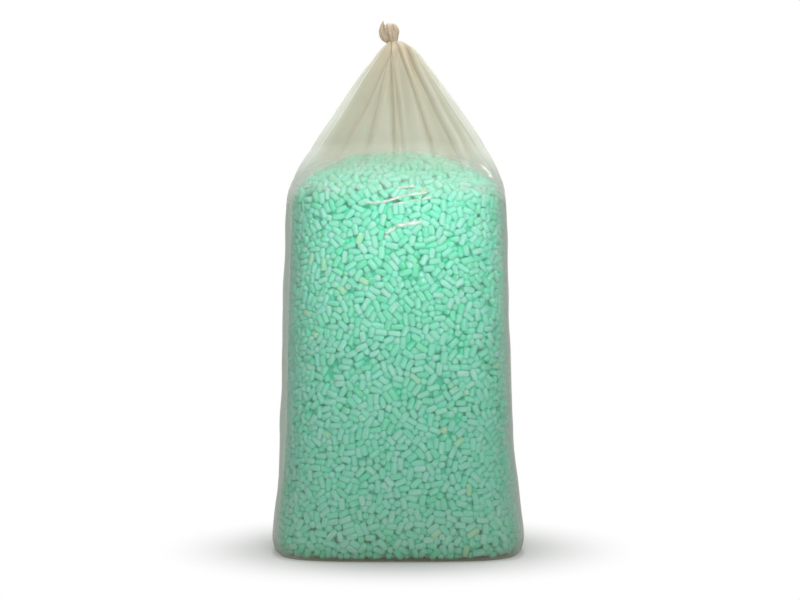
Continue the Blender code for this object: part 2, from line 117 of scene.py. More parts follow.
def smooth_step(low: float, high: float, value: np.ndarray) -> np.ndarray:
    """Rises smoothly from 0 at low to 1 at high."""
    share = np.clip((value - low) / (high - low), 0, 1)
    return share * share * (3 - 2 * share)


def mesh_object(name: str, points: np.ndarray, faces: list | np.ndarray,
                values: dict[str, np.ndarray]) -> bpy.types.Object:
    """Makes a smooth object from points and faces, with its place in its mesh.

    Args:
        name: The object's name.
        points: The points, one in each row.
        faces: The point numbers of each face.
        values: A number for each point, under the name of its attribute.

    Returns:
        The object, linked to the scene.
    """
    mesh = bpy.data.meshes.new(name)
    if isinstance(faces, np.ndarray):
        mesh.vertices.add(len(points))
        mesh.vertices.foreach_set("co", points.astype(np.float32).ravel())
        mesh.loops.add(faces.size)
        mesh.loops.foreach_set("vertex_index", faces.astype(np.int32).ravel())
        mesh.polygons.add(len(faces))
        mesh.polygons.foreach_set("loop_start", np.arange(0, faces.size, faces.shape[1], dtype=np.int32))
    else:
        mesh.from_pydata(points.tolist(), [], faces)
    mesh.update(calc_edges=True)
    mesh.shade_smooth()
    for title, numbers in values.items():
        made = mesh.attributes.new(title, "FLOAT", "POINT")
        made.data.foreach_set("value", numbers.astype(np.float32).ravel())
    thing = bpy.data.objects.new(name, mesh)
    bpy.context.scene.collection.objects.link(thing)
    return thing


# ---- the sack's outline ----

@dataclass(frozen=True)
class SackShape:
    """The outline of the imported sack, read at any height and angle."""

    heights: tuple = (0.0, 0.012, 0.050, 0.200, 0.340, 0.740, 1.040, 1.098, 1.188, 1.323, 1.458, 1.497,
                      1.511)
    half_widths: tuple = (0.349, 0.362, 0.3695, 0.3585, 0.347, 0.337, 0.327, 0.313, 0.265, 0.177, 0.079,
                          0.045, 0.025)
    half_depths: tuple = (0.290, 0.302, 0.310, 0.301, 0.294, 0.287, 0.277, 0.262, 0.222, 0.149, 0.069,
                          0.041, 0.025)
    shifts: tuple = (0.0, 0.0, 0.0, -0.001, -0.005, -0.007, -0.006, -0.002, 0.0, 0.001, 0.0, -0.002,
                     -0.009)
    squareness: tuple = (4.2, 4.2, 4.2, 3.0, 3.0, 3.0, 3.0, 3.0, 2.2, 2.2, 2.0, 2.0, 2.0)
    pleat_shares: tuple = (0, 0, 0, 0, 0, 0, 0, 0.012, 0.035, 0.120, 0.240, 0.240, 0.240)
    pleat_count: int = 10
    shallowest_pleat: float = 0.35
    buckle_depth: float = 3 * MM
    buckle_length: float = 0.330
    buckle_start: float = 0.050
    buckle_full: float = 0.200
    eased_from: tuple = (1.24, 1.33)

    @property
    def shoulder(self) -> float:
        """The height at which the film leaves the heap."""
        return self.heights[6]

    @property
    def throat(self) -> float:
        """The height at which the cone ends and its neck starts."""
        return self.heights[-1]

    def place(self, heights: np.ndarray) -> tuple[np.ndarray, np.ndarray]:
        """Finds between which two levels each height lies, and how far up from the lower one."""
        knots = np.array(self.heights)
        index = np.clip(np.searchsorted(knots, heights, side="left") - 1, 0, len(knots) - 2)
        return index, (heights - knots[index]) / (knots[index + 1] - knots[index])

    def rounded(self, values: tuple, heights: np.ndarray) -> np.ndarray:
        """Reads a smooth curve through the levels' values at some heights.

        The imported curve's slope jumps a little at levels that stand unevenly. High in the cone the film
        would show that as a kink, so from eased_from up its slopes are evened out.

        Args:
            values: The values at the levels.
            heights: The heights to read.

        Returns:
            The value at each height.
        """
        index, share = self.place(heights)
        known, steps = np.array(values), np.diff(self.heights)
        last = len(known) - 1
        before, start = known[np.maximum(index - 1, 0)], known[index]
        end, after = known[index + 1], known[np.minimum(index + 2, last)]
        packed = 0.5 * (2 * start + (end - before) * share
                        + (2 * before - 5 * start + 4 * end - after) * share**2
                        + (3 * start - before - 3 * end + after) * share**3)
        slopes = np.diff(known) / steps
        inner = (slopes[:-1] * steps[1:] + slopes[1:] * steps[:-1]) / (steps[:-1] + steps[1:])
        slope = np.concatenate([slopes[:1], inner, slopes[-1:]])
        even = (start + (end - start) * smooth_step(0, 1, share)
                + steps[index] * (slope[index] * share * (1 - share) ** 2
                                  - slope[index + 1] * share**2 * (1 - share)))
        low, high = self.eased_from
        return packed + (even - packed) * smooth_step(low, high, heights)

    def eased(self, values: tuple, heights: np.ndarray) -> np.ndarray:
        """Reads values that ease from one level to the next at some heights."""
        index, share = self.place(heights)
        known = np.array(values)
        return known[index] + (known[index + 1] - known[index]) * smooth_step(0, 1, share)

    def plan(self, heights: np.ndarray, angles: np.ndarray) -> np.ndarray:
        """The radius of the sack's plan before it is folded and buckled.

        Args:
            heights: The height of each point.
            angles: The angle of each point about the middle line.

        Returns:
            The radius at each point.
        """
        square = self.eased(self.squareness, heights)
        across = np.abs(np.cos(angles) / self.rounded(self.half_widths, heights)) ** square
        deep = np.abs(np.sin(angles) / self.rounded(self.half_depths, heights)) ** square
        return (across + deep) ** (-1 / square)

    def radii(self, heights: np.ndarray, angles: np.ndarray) -> np.ndarray:
        """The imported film's distance from its own middle line.

        Args:
            heights: The height of each point.
            angles: The angle of each point about the middle line.

        Returns:
            The radius at each point.
        """
        radius = self.plan(heights, angles)
        turn = (angles % TAU) / TAU * self.pleat_count
        draw = random.Random(SEED)
        depths = np.array([draw.uniform(self.shallowest_pleat, 1.0) for _ in range(self.pleat_count)])
        fold = (0.5 - 0.5 * np.cos(TAU * turn)) * depths[turn.astype(int) % self.pleat_count]
        radius = radius * (1 - self.eased(self.pleat_shares, heights) * fold)
        filled = np.clip((heights - self.buckle_start) / (self.buckle_full - self.buckle_start), 0, 1)
        wave = (np.sin(TAU * heights / self.buckle_length + 3 * np.sin(2 * angles))
                * np.sin(5 * angles + 1.3))
        return radius - self.buckle_depth * filled * (0.5 + 0.5 * wave)

    def points(self, heights: np.ndarray, angles: np.ndarray, outward: np.ndarray | float = 0.0) -> np.ndarray:
        """Points on the film, or some way outside it.

        Args:
            heights: The height of each point.
            angles: The angle of each point about the middle line.
            outward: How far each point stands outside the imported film.

        Returns:
            One point in each row of the last axis.
        """
        radius = self.radii(heights, angles) + outward
        shift = self.eased(self.shifts, heights)
        return np.stack([shift + radius * np.cos(angles), radius * np.sin(angles),
                         heights + 0 * angles], axis=-1)


# ---- the film ----

@dataclass(frozen=True)
class BlownFilm:
    """Blown polyethylene film, slightly hazy.

    Blown film scatters a little of the light at each crossing, so one layer over the rods is nearly
    clear, two look like a beige mist, and the gathered neck with its many layers looks solid tan.
    """

    clear: str = "#F3F6F4"
    mist: str = "#BFB6A3"
    bunched: str = "#CFBFA6"
    # Painted shade: the darker colour laid into the valleys of folds
    painted_fold_shade: str = "#8A7B62"
    # Painted highlight colour for the creases, the lips of pleats and the cone's sides
    gleam: str = "#F4F6F1"
    slant_power: float = 1.5
    mist_slant: float = 1.2
    least_facing: float = 0.22
    glow_share: float = 0.4
    dent: float = 55 * MM
    dent_depth: float = 2.5 * MM
    drape: float = 16 * MM
    roughness: float = 0.16
    least_gloss: float = 0.065
    most_gloss: float = 0.32

    def make(self) -> bpy.types.Material:
        """Builds the film's nodes.

        Returns:
            The material. It reads the point attributes layers, mist, cling and bunched, the painted
            shade of the fold valleys, the painted highlight called gleam, and polish.
        """
        made, tree = new_material("blown_polyethylene_film")
        layers = add_node(tree, "ShaderNodeAttribute", {"attribute_name": "layers"})
        mist_there = add_node(tree, "ShaderNodeAttribute", {"attribute_name": "mist"})
        cling = add_node(tree, "ShaderNodeAttribute", {"attribute_name": "cling"})
        bunched = add_node(tree, "ShaderNodeAttribute", {"attribute_name": "bunched"})
        painted_fold_shade = add_node(tree, "ShaderNodeAttribute", {"attribute_name": "painted_fold_shade"})
        gleam = add_node(tree, "ShaderNodeAttribute", {"attribute_name": "gleam"})
        polish = add_node(tree, "ShaderNodeAttribute", {"attribute_name": "polish"})
        where = add_node(tree, "ShaderNodeTexCoord")

        # Soft dents of the loose film, and the finer ones where it is drawn over the rods
        dents = add_node(tree, "ShaderNodeTexNoise", None,
                         {"Vector": where.outputs["Object"], "Scale": 1 / self.dent, "Detail": 3.0,
                          "Roughness": 0.45})
        draped = add_node(tree, "ShaderNodeTexNoise", None,
                          {"Vector": where.outputs["Object"], "Scale": 1 / self.drape, "Detail": 1.0})
        over_rods = add_node(tree, "ShaderNodeMath", {"operation": "MULTIPLY"},
                             {0: draped.outputs[0], 1: cling.outputs["Fac"]})
        dent = add_node(tree, "ShaderNodeBump", None,
                        {"Strength": 0.7, "Distance": self.dent_depth, "Height": dents.outputs[0]})
        bump = add_node(tree, "ShaderNodeBump", None,
                        {"Strength": 0.5, "Distance": 0.002, "Height": over_rods.outputs[0],
                         "Normal": dent.outputs[0]})

        # A slanted look goes a longer way through the film
        slant = add_node(tree, "ShaderNodeLayerWeight", None, {"Blend": 0.5})
        facing = add_node(tree, "ShaderNodeMath", {"operation": "SUBTRACT"},
                          {0: 1.0, 1: slant.outputs["Facing"]})
        least = add_node(tree, "ShaderNodeMath", {"operation": "MAXIMUM"}, {0: facing.outputs[0], 1: self.least_facing})
        slowed = add_node(tree, "ShaderNodeMath", {"operation": "POWER"},
                          {0: least.outputs[0], 1: self.slant_power})
        way = add_node(tree, "ShaderNodeMath", {"operation": "DIVIDE"},
                       {0: layers.outputs["Fac"], 1: slowed.outputs[0]})
        kept = [add_node(tree, "ShaderNodeMath", {"operation": "POWER"}, {0: part, 1: way.outputs[0]})
                for part in linear(self.clear)[:3]]
        through = add_node(tree, "ShaderNodeCombineColor", None,
                           {at: node.outputs[0] for at, node in enumerate(kept)})
        clear = add_node(tree, "ShaderNodeBsdfTransparent", None, {"Color": through.outputs[0]})

        hue = add_node(tree, "ShaderNodeMix", {"data_type": "RGBA"},
                       {0: bunched.outputs["Fac"], 6: linear(self.mist), 7: linear(self.bunched)})
        # Fold valleys are painted darker with this colour, as the shade that falls in them
        deeper = add_node(tree, "ShaderNodeMix", {"data_type": "RGBA"},
                          {0: painted_fold_shade.outputs["Fac"], 6: hue.outputs[2], 7: linear(self.painted_fold_shade)})
        # Creases, pleat lips and the cone's sides are painted lighter with the gleam colour, a painted highlight
        tone = add_node(tree, "ShaderNodeMix", {"data_type": "RGBA"},
                        {0: gleam.outputs["Fac"], 6: deeper.outputs[2], 7: linear(self.gleam)})
        lit = add_node(tree, "ShaderNodeBsdfDiffuse", None,
                       {"Color": tone.outputs[2], "Normal": bump.outputs[0]})
        glow = add_node(tree, "ShaderNodeBsdfTranslucent", None,
                        {"Color": tone.outputs[2], "Normal": bump.outputs[0]})
        mist = add_node(tree, "ShaderNodeMixShader", None, {0: self.glow_share, 1: lit.outputs[0], 2: glow.outputs[0]})
        unlit = add_node(tree, "ShaderNodeMath", {"operation": "SUBTRACT"},
                         {0: 1.0, 1: mist_there.outputs["Fac"]})
        longer = add_node(tree, "ShaderNodeMath", {"operation": "POWER"},
                          {0: least.outputs[0], 1: -self.mist_slant})
        missed = add_node(tree, "ShaderNodeMath", {"operation": "POWER"},
                          {0: unlit.outputs[0], 1: longer.outputs[0]})
        body = add_node(tree, "ShaderNodeMixShader", None,
                        {0: missed.outputs[0], 1: mist.outputs[0], 2: clear.outputs[0]})

        gloss = add_node(tree, "ShaderNodeBsdfGlossy", None,
                         {"Roughness": self.roughness, "Normal": bump.outputs[0],
                          "Color": linear("#FFFFFF")})
        shine = add_node(tree, "ShaderNodeMapRange", None,
                         {"Value": slant.outputs["Facing"], "From Min": 0.4, "From Max": 1.0,
                          "To Min": self.least_gloss, "To Max": self.most_gloss})
        # Film that is pulled tight mirrors the white room even where it faces the eye
        mirrored = add_node(tree, "ShaderNodeMath", {"operation": "ADD", "use_clamp": True},
                            {0: shine.outputs[0], 1: polish.outputs["Fac"]})
        whole = add_node(tree, "ShaderNodeMixShader", None,
                         {0: mirrored.outputs[0], 1: body.outputs[0], 2: gloss.outputs[0]})
        add_node(tree, "ShaderNodeOutputMaterial", None, {"Surface": whole.outputs[0]})
        return made


@dataclass(frozen=True)
class Pleat:
    """A fold that runs from the neck down the cone.

    top and foot are its places across the sack at the cone's top and foot levels. shine is how much
    its lip is painted lighter as a highlight, and shade how much its valley is painted darker as shade.
    """

    side: Side
    top: float
    foot: float
    depth: float
    width: float
    start: float = 1.07
    shine: float = 0.0
    shade: float = 0.35


@dataclass(frozen=True)
class Crease:
    """A sharp ridge in the film, through points given as (way round from the front, height)."""

    points: tuple
    height: float
    width: float
    # shine is how much the ridge is painted lighter as a highlight; it also adds mist and gloss
    shine: float = 0.4


@dataclass
class FilmSack:
    """The film sack as one sheet, from the middle of its base to the mouth of its knotted tail."""

    shape: SackShape
    columns: int = 320
    base_rings: tuple = (0.0, 0.15, 0.35, 0.55, 0.74, 0.88, 0.96)
    body_pitch: float = 9.0 * MM
    shoulder_pitch: float = 2.1 * MM
    cone_pitch: float = 6.5 * MM
    shoulder_band: tuple = (0.915, 1.100)
    mist_heights: tuple = (0.0, 0.010, 0.060, 0.220, 1.010, 1.051, 1.100, 1.140, 1.190, 1.300, 1.400, 1.460,
                           1.511)
    mist_shares: tuple = (0.50, 0.22, 0.14, 0.050, 0.050, 0.08, 0.14, 0.27, 0.50, 0.56, 0.61, 0.70, 0.84)
    polish_heights: tuple = (1.015, 1.055, 1.110, 1.150, 1.200)
    polish_shares: tuple = (0.0, 0.14, 0.12, 0.08, 0.0)
    crease_polish: float = 0.6
    bunched_heights: tuple = (0.0, 0.007, 0.018, 1.330, 1.430, 1.490, 1.511)
    bunched_shares: tuple = (0.9, 0.6, 0.0, 0.0, 0.35, 0.65, 0.85)
    most_layers: float = 9.0
    crease_mist: float = 0.75
    # How much lighter the cone's sides are painted, a painted highlight
    side_gleam: float = 0.50
    cone_top: float = 1.458
    cone_foot: float = 1.188
    flat_width: float = 1.035
    flat_length: float = 2.15
    front_pleats: tuple = (
        Pleat(Side.FRONT, -0.024, -0.015, 7.0 * MM, 4.5 * MM, shade=0.75),
        Pleat(Side.FRONT, -0.018, 0.012, 5.0 * MM, 4.0 * MM, shade=0.45),
        Pleat(Side.FRONT, 0.010, 0.098, 6.0 * MM, 5.0 * MM, shade=0.55),
        Pleat(Side.FRONT, 0.048, 0.165, 9.0 * MM, 5.5 * MM, 1.04, 0.30, 0.65),
        Pleat(Side.FRONT, 0.066, 0.228, 9.0 * MM, 5.0 * MM, 1.06, 0.60, 0.60),
        Pleat(Side.FRONT, -0.036, -0.155, 5.0 * MM, 8.0 * MM),
        Pleat(Side.FRONT, -0.031, -0.090, 4.0 * MM, 7.0 * MM),
        Pleat(Side.FRONT, -0.066, -0.235, 5.0 * MM, 4.0 * MM, 1.03, 0.80, 0.30),
    )
    creases: tuple = (
        Crease(((-0.105, 1.020), (-0.064, 1.012), (-0.024, 1.018), (0.012, 1.030), (0.058, 1.039),
                (0.108, 1.044)), 0.9 * MM, 3.2 * MM, 1.1),
        Crease(((-0.030, 1.003), (0.020, 1.012), (0.085, 1.026), (0.120, 1.030)), 0.7 * MM, 2.8 * MM, 0.8),
        Crease(((0.000, 1.054), (0.025, 1.059), (0.055, 1.062)), 0.7 * MM, 2.8 * MM, 1.1),
        Crease(((0.020, 1.044), (0.055, 1.049), (0.100, 1.052)), 0.6 * MM, 2.6 * MM, 0.6),
        Crease(((0.150, 1.075), (0.230, 1.066), (0.330, 1.062)), 0.9 * MM, 4.0 * MM),
        Crease(((0.160, 1.058), (0.250, 1.052), (0.340, 1.049)), 0.8 * MM, 3.6 * MM),
        Crease(((-0.330, 1.075), (-0.250, 1.060), (-0.180, 1.057)), 0.9 * MM, 4.0 * MM),
        Crease(((-0.006, 0.946), (0.036, 0.954), (0.080, 0.957)), 0.9 * MM, 4.6 * MM, 1.3),
        Crease(((-0.030, 0.925), (-0.002, 0.943)), 0.8 * MM, 4.2 * MM, 1.3),
    )

    def row_heights(self) -> np.ndarray:
        """The heights of the sheet's rows above its base, closest at the shoulder where it creases."""
        foot = np.array([0.0, 2.0, 5.0, 9.0, 13.0, 18.0, 24.0]) * MM
        low, high = self.shoulder_band
        body = np.arange(foot[-1] + self.body_pitch, low, self.body_pitch)
        band = np.arange(low, high, self.shoulder_pitch)
        cone = np.arange(high, self.shape.throat, self.cone_pitch)
        return np.concatenate([foot, body, band, cone, [self.shape.throat]])

    def ways(self, base: np.ndarray) -> np.ndarray:
        """How far round each point lies from the front of its own row, positive to the right.

        Args:
            base: The sheet's points by row and column.

        Returns:
            The way round, by row and column.
        """
        steps = np.linalg.norm(np.roll(base, -1, axis=1) - base, axis=2)
        front = self.columns * 3 // 4
        ordered = np.roll(steps, -front, axis=1)
        run = np.cumsum(ordered, axis=1) - ordered
        total = ordered.sum(axis=1, keepdims=True)
        run = np.where(run > total / 2, run - total, run)
        return np.roll(run, front, axis=1)

    def pleated(self, heights: np.ndarray, base: np.ndarray, ways: np.ndarray) -> tuple[np.ndarray, ...]:
        """The relief of the folds that run up the cone.

        Args:
            heights: The height of each row.
            base: The sheet's points by row and column.
            ways: How far round each point lies.

        Returns:
            How far each point moves outwards, how much film is doubled there, how much the fold's
            lip is painted lighter as a highlight and how much its valley is painted darker as shade.
        """
        moved, doubled, lit, painted_valley_shade = (np.zeros_like(ways) for _ in range(4))
        angles = TAU * np.arange(self.columns) / self.columns
        plan = self.shape.plan(heights[:, None], angles[None, :]) * np.cos(angles)
        share = (heights - self.cone_foot) / (self.cone_top - self.cone_foot)
        for pleat in self.all_pleats():
            across = pleat.foot + (pleat.top - pleat.foot) * share
            if pleat.side is Side.FRONT:
                chosen = slice(self.columns // 2, self.columns)
            else:
                chosen = slice(self.columns // 2, 0, -1)
            grown = smooth_step(pleat.start, pleat.start + 0.16, heights)
            grown = grown * (1 - 0.45 * smooth_step(1.40, self.shape.throat, heights))
            for row in np.flatnonzero(grown > 0):
                turn, placed = 2 * np.abs(ways[row]).max(), ways[row, chosen]
                if pleat.side is Side.BACK:
                    placed = np.where(placed > 0, placed - turn, placed)
                middle = np.interp(across[row], plan[row, chosen], placed)
                width = pleat.width * (0.75 + 0.5 * (1 - min(max(share[row], 0), 1)))
                off = ((ways[row] - middle + turn / 2) % turn - turn / 2) / width
                valley = np.exp(-np.abs(off) ** 1.4)
                lip = np.exp(-((off - 2.2) / 1.5) ** 2)
                moved[row] += grown[row] * pleat.depth * (0.55 * lip - valley)
                doubled[row] += grown[row] * np.exp(-((off - 0.8) / 1.6) ** 2)
                # The fold's lip is painted lighter as a highlight, and its valley darker as shade
                lit[row] = np.maximum(lit[row], grown[row] * pleat.shine * lip**2)
                painted_valley_shade[row] = np.maximum(painted_valley_shade[row], grown[row] * pleat.shade * valley)
        reach = np.abs(base[..., 0]) / np.abs(base[..., 0]).max(axis=1, keepdims=True)
        return moved * (1 - 0.8 * smooth_step(0.80, 0.97, reach)), doubled, lit, painted_valley_shade

    def all_pleats(self) -> list[Pleat]:
        """The pleats seen on the front, and thirteen more drawn at random round the sides and back."""
        draw = random.Random(SEED)
        pleats = list(self.front_pleats)
        for step in range(13):
            at = -0.92 + 1.84 * (step + draw.uniform(0.15, 0.85)) / 13
            pleats.append(Pleat(Side.BACK, 0.079 * at, 0.262 * (at + draw.uniform(-0.05, 0.05)),
                                draw.uniform(4, 9) * MM, draw.uniform(4, 7) * MM, draw.uniform(1.04, 1.15)))
        return pleats

    def creased(self, heights: np.ndarray, ways: np.ndarray) -> tuple[np.ndarray, np.ndarray]:
        """The relief of the sharp ridges that lie across the film.

        Args:
            heights: The height of each row.
            ways: How far round each point lies.

        Returns:
            How far each point moves outwards, and how near it is to a ridge, up to 1.
        """
        moved, marked = np.zeros_like(ways), np.zeros_like(ways)
        tall = heights[:, None] + 0 * ways
        for number, crease in enumerate(self.all_creases()):
            best, along = np.full_like(ways, np.inf), np.zeros_like(ways)
            last = len(crease.points) - 1
            for at, ((x0, z0), (x1, z1)) in enumerate(zip(crease.points, crease.points[1:])):
                run = np.array([x1 - x0, z1 - z0])
                share = ((ways - x0) * run[0] + (tall - z0) * run[1]) / (run @ run)
                share = np.clip(share, 0, 1)
                far = np.hypot(ways - x0 - share * run[0], tall - z0 - share * run[1])
                along = np.where(far < best, (at + share) / last, along)
                best = np.minimum(best, far)
            ends = smooth_step(-0.05, 0.22, along) * (1 - smooth_step(0.78, 1.05, along))
            flicker = 0.76 + 0.24 * np.sin(TAU * (2.7 * along + 0.37 * number))
            off = best / (crease.width * (0.6 + 0.4 * ends))
            moved += crease.height * ends * np.exp(-np.abs(off) ** 1.3)
            marked = np.maximum(marked, crease.shine * ends * flicker * np.exp(-off**2))
        return moved, marked

    def all_creases(self) -> list[Crease]:
        """The creases seen on the front, and others drawn at random over the shoulder and the body."""
        draw = random.Random(SEED + 1)
        creases = list(self.creases)
        for _ in range(16):
            way = draw.choice((-1, 1)) * draw.uniform(0.36, 0.98)
            height = draw.uniform(1.00, 1.08)
            length = draw.uniform(0.06, 0.16)
            tilt = draw.uniform(-0.02, 0.02)
            bow = draw.uniform(-0.008, 0.008)
            creases.append(Crease(((way - length / 2, height - tilt / 2), (way, height + bow),
                                   (way + length / 2, height + tilt / 2)),
                                  draw.uniform(1, 2) * MM, draw.uniform(3, 5) * MM))
        return creases

    def rolling(self, heights: np.ndarray, angles: np.ndarray) -> np.ndarray:
        """The slow swells of the filled wall."""
        tall = heights[:, None]
        swell = (np.sin(7 * angles + 9 * tall) * np.sin(23 * tall + 2 * np.sin(3 * angles))
                 + 0.7 * np.sin(13 * angles - 14 * tall + 1.0) * np.sin(31 * tall + 2.0))
        strength = smooth_step(0.03, 0.15, tall) * (1 - smooth_step(1.05, 1.2, tall))
        return 1.3 * MM * swell * strength

    def sheet(self) -> tuple[np.ndarray, dict[str, np.ndarray]]:
        """The film from the floor to the throat.

        Returns:
            The points by row and column, and for each the layers of film, its share of mist, how
            closely it clings, how bunched it is, how much painted shade lies in its fold valleys, how much
            painted highlight it has and how much it mirrors.
        """
        heights = self.row_heights()
        angles = TAU * np.arange(self.columns) / self.columns
        tall = np.repeat(heights[:, None], self.columns, axis=1)
        round_ = np.repeat(angles[None, :], len(heights), axis=0)
        base = self.shape.points(tall, round_)
        ways = self.ways(base)
        moved, doubled, lit, painted_valley_shade = self.pleated(heights, base, ways)
        ridges, marked = self.creased(heights, ways)
        moved = moved + ridges + self.rolling(heights, angles)
        points = self.shape.points(tall, round_, moved)
        turn = np.linalg.norm(np.roll(base, -1, axis=1) - base, axis=2).sum(axis=1)
        gathered = np.maximum(2 * self.flat_width / turn, 1.0)
        loose = smooth_step(self.shape.shoulder - 0.01, self.cone_foot, heights)
        layers = np.minimum(gathered * (1 + 0.6 * loose), self.most_layers)[:, None]
        layers = layers * (1 + 0.22 * np.minimum(doubled, 1.5))
        cling = (1 - smooth_step(1.02, 1.07, heights))[:, None] + 0 * ways
        mist = np.interp(heights, self.mist_heights, self.mist_shares)[:, None] + 0 * ways
        mist = 1 - (1 - mist) ** (1 + 0.35 * np.minimum(doubled, 1.5)) * (1 - self.crease_mist * marked)
        bunched = np.interp(heights, self.bunched_heights, self.bunched_shares)[:, None] + 0 * ways
        # The cone's sides are painted lighter as a highlight, as are the creases and the pleats' lips
        side = np.abs(base[..., 0]) / np.abs(base[..., 0]).max(axis=1, keepdims=True)
        side = self.side_gleam * loose[:, None] * smooth_step(0.70, 0.95, side)
        polish = np.interp(heights, self.polish_heights, self.polish_shares)[:, None]
        polish = np.maximum(polish, self.crease_polish * marked)
        return points, {"layers": layers, "mist": mist, "cling": cling, "bunched": bunched, "painted_fold_shade": painted_valley_shade,
                        "gleam": np.clip(np.maximum(marked, np.maximum(lit, side)), 0, 1), "polish": polish}

    def build(self) -> bpy.types.Object:
        """Makes the whole sheet with its base, cone, neck and knot.

        Returns:
            The film's object, in place.
        """
        points, values = self.sheet()
        # The bottom weld is a line across the base, where the front and the back of the film meet
        rings = [points[0] * [1, share, 1] for share in self.base_rings]
        knot = Knot()
        rings += list(points)
        gather, gather_shares = knot.gather(points[-1])
        tube, tube_values = knot.tube()
        rings += gather + tube
        ring_values: dict[str, list[np.ndarray]] = {}
        for title, table in values.items():
            start = [table[0]] * len(self.base_rings) + list(table)
            neck = tube_values[title][0][0]
            closing = [np.full(len(ring), table[-1].mean() + share * (neck - table[-1].mean()))
                       for ring, share in zip(gather, gather_shares)]
            ring_values[title] = start + closing + tube_values[title]
        faces: list = []
        numbered = []
        count = 0
        for ring in rings:
            numbered.append(np.arange(count, count + len(ring)))
            count += len(ring)
        for lower, upper in zip(numbered, numbered[1:]):
            faces += self.stitched(lower, upper)
        return mesh_object("film_sack_sheet", np.concatenate(rings), faces,
                           {title: np.concatenate(items) for title, items in ring_values.items()})

    def stitched(self, lower: np.ndarray, upper: np.ndarray) -> list[tuple]:
        """The faces between two rings of point numbers, of which the lower may have twice as many.

        Args:
            lower: The lower ring's point numbers.
            upper: The upper ring's point numbers.

        Returns:
            The faces, all facing outwards.
        """
        if len(lower) == len(upper):
            after, above = np.roll(lower, -1), np.roll(upper, -1)
            return list(zip(lower.tolist(), after.tolist(), above.tolist(), upper.tolist()))
        faces = []
        for at in range(len(upper)):
            after = (at + 1) % len(upper)
            start, middle, end = int(lower[2 * at]), int(lower[2 * at + 1]), int(lower[2 * after])
            here, there = int(upper[at]), int(upper[after])
            faces += [(start, middle, here), (middle, there, here), (middle, end, there)]
        return faces

    def dress(self, film: bpy.types.Object, look: bpy.types.Material) -> None:
        """Gives the film its material, hangs it on the sack's root and hides the imported film."""
        film.data.materials.append(look)
        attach(film, "root")
        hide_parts("film_sack")


@dataclass(frozen=True)
class Bend:
    """A place on the knot's middle line, and the section of the gathered film there.

    Sizes are in millimetres. turn is the way that the flat side faces: 0 to the front, 90 up, 180 back.
    """

    across: float
    deep: float
    height: float
    half_width: float
    half_thickness: float
    turn: float


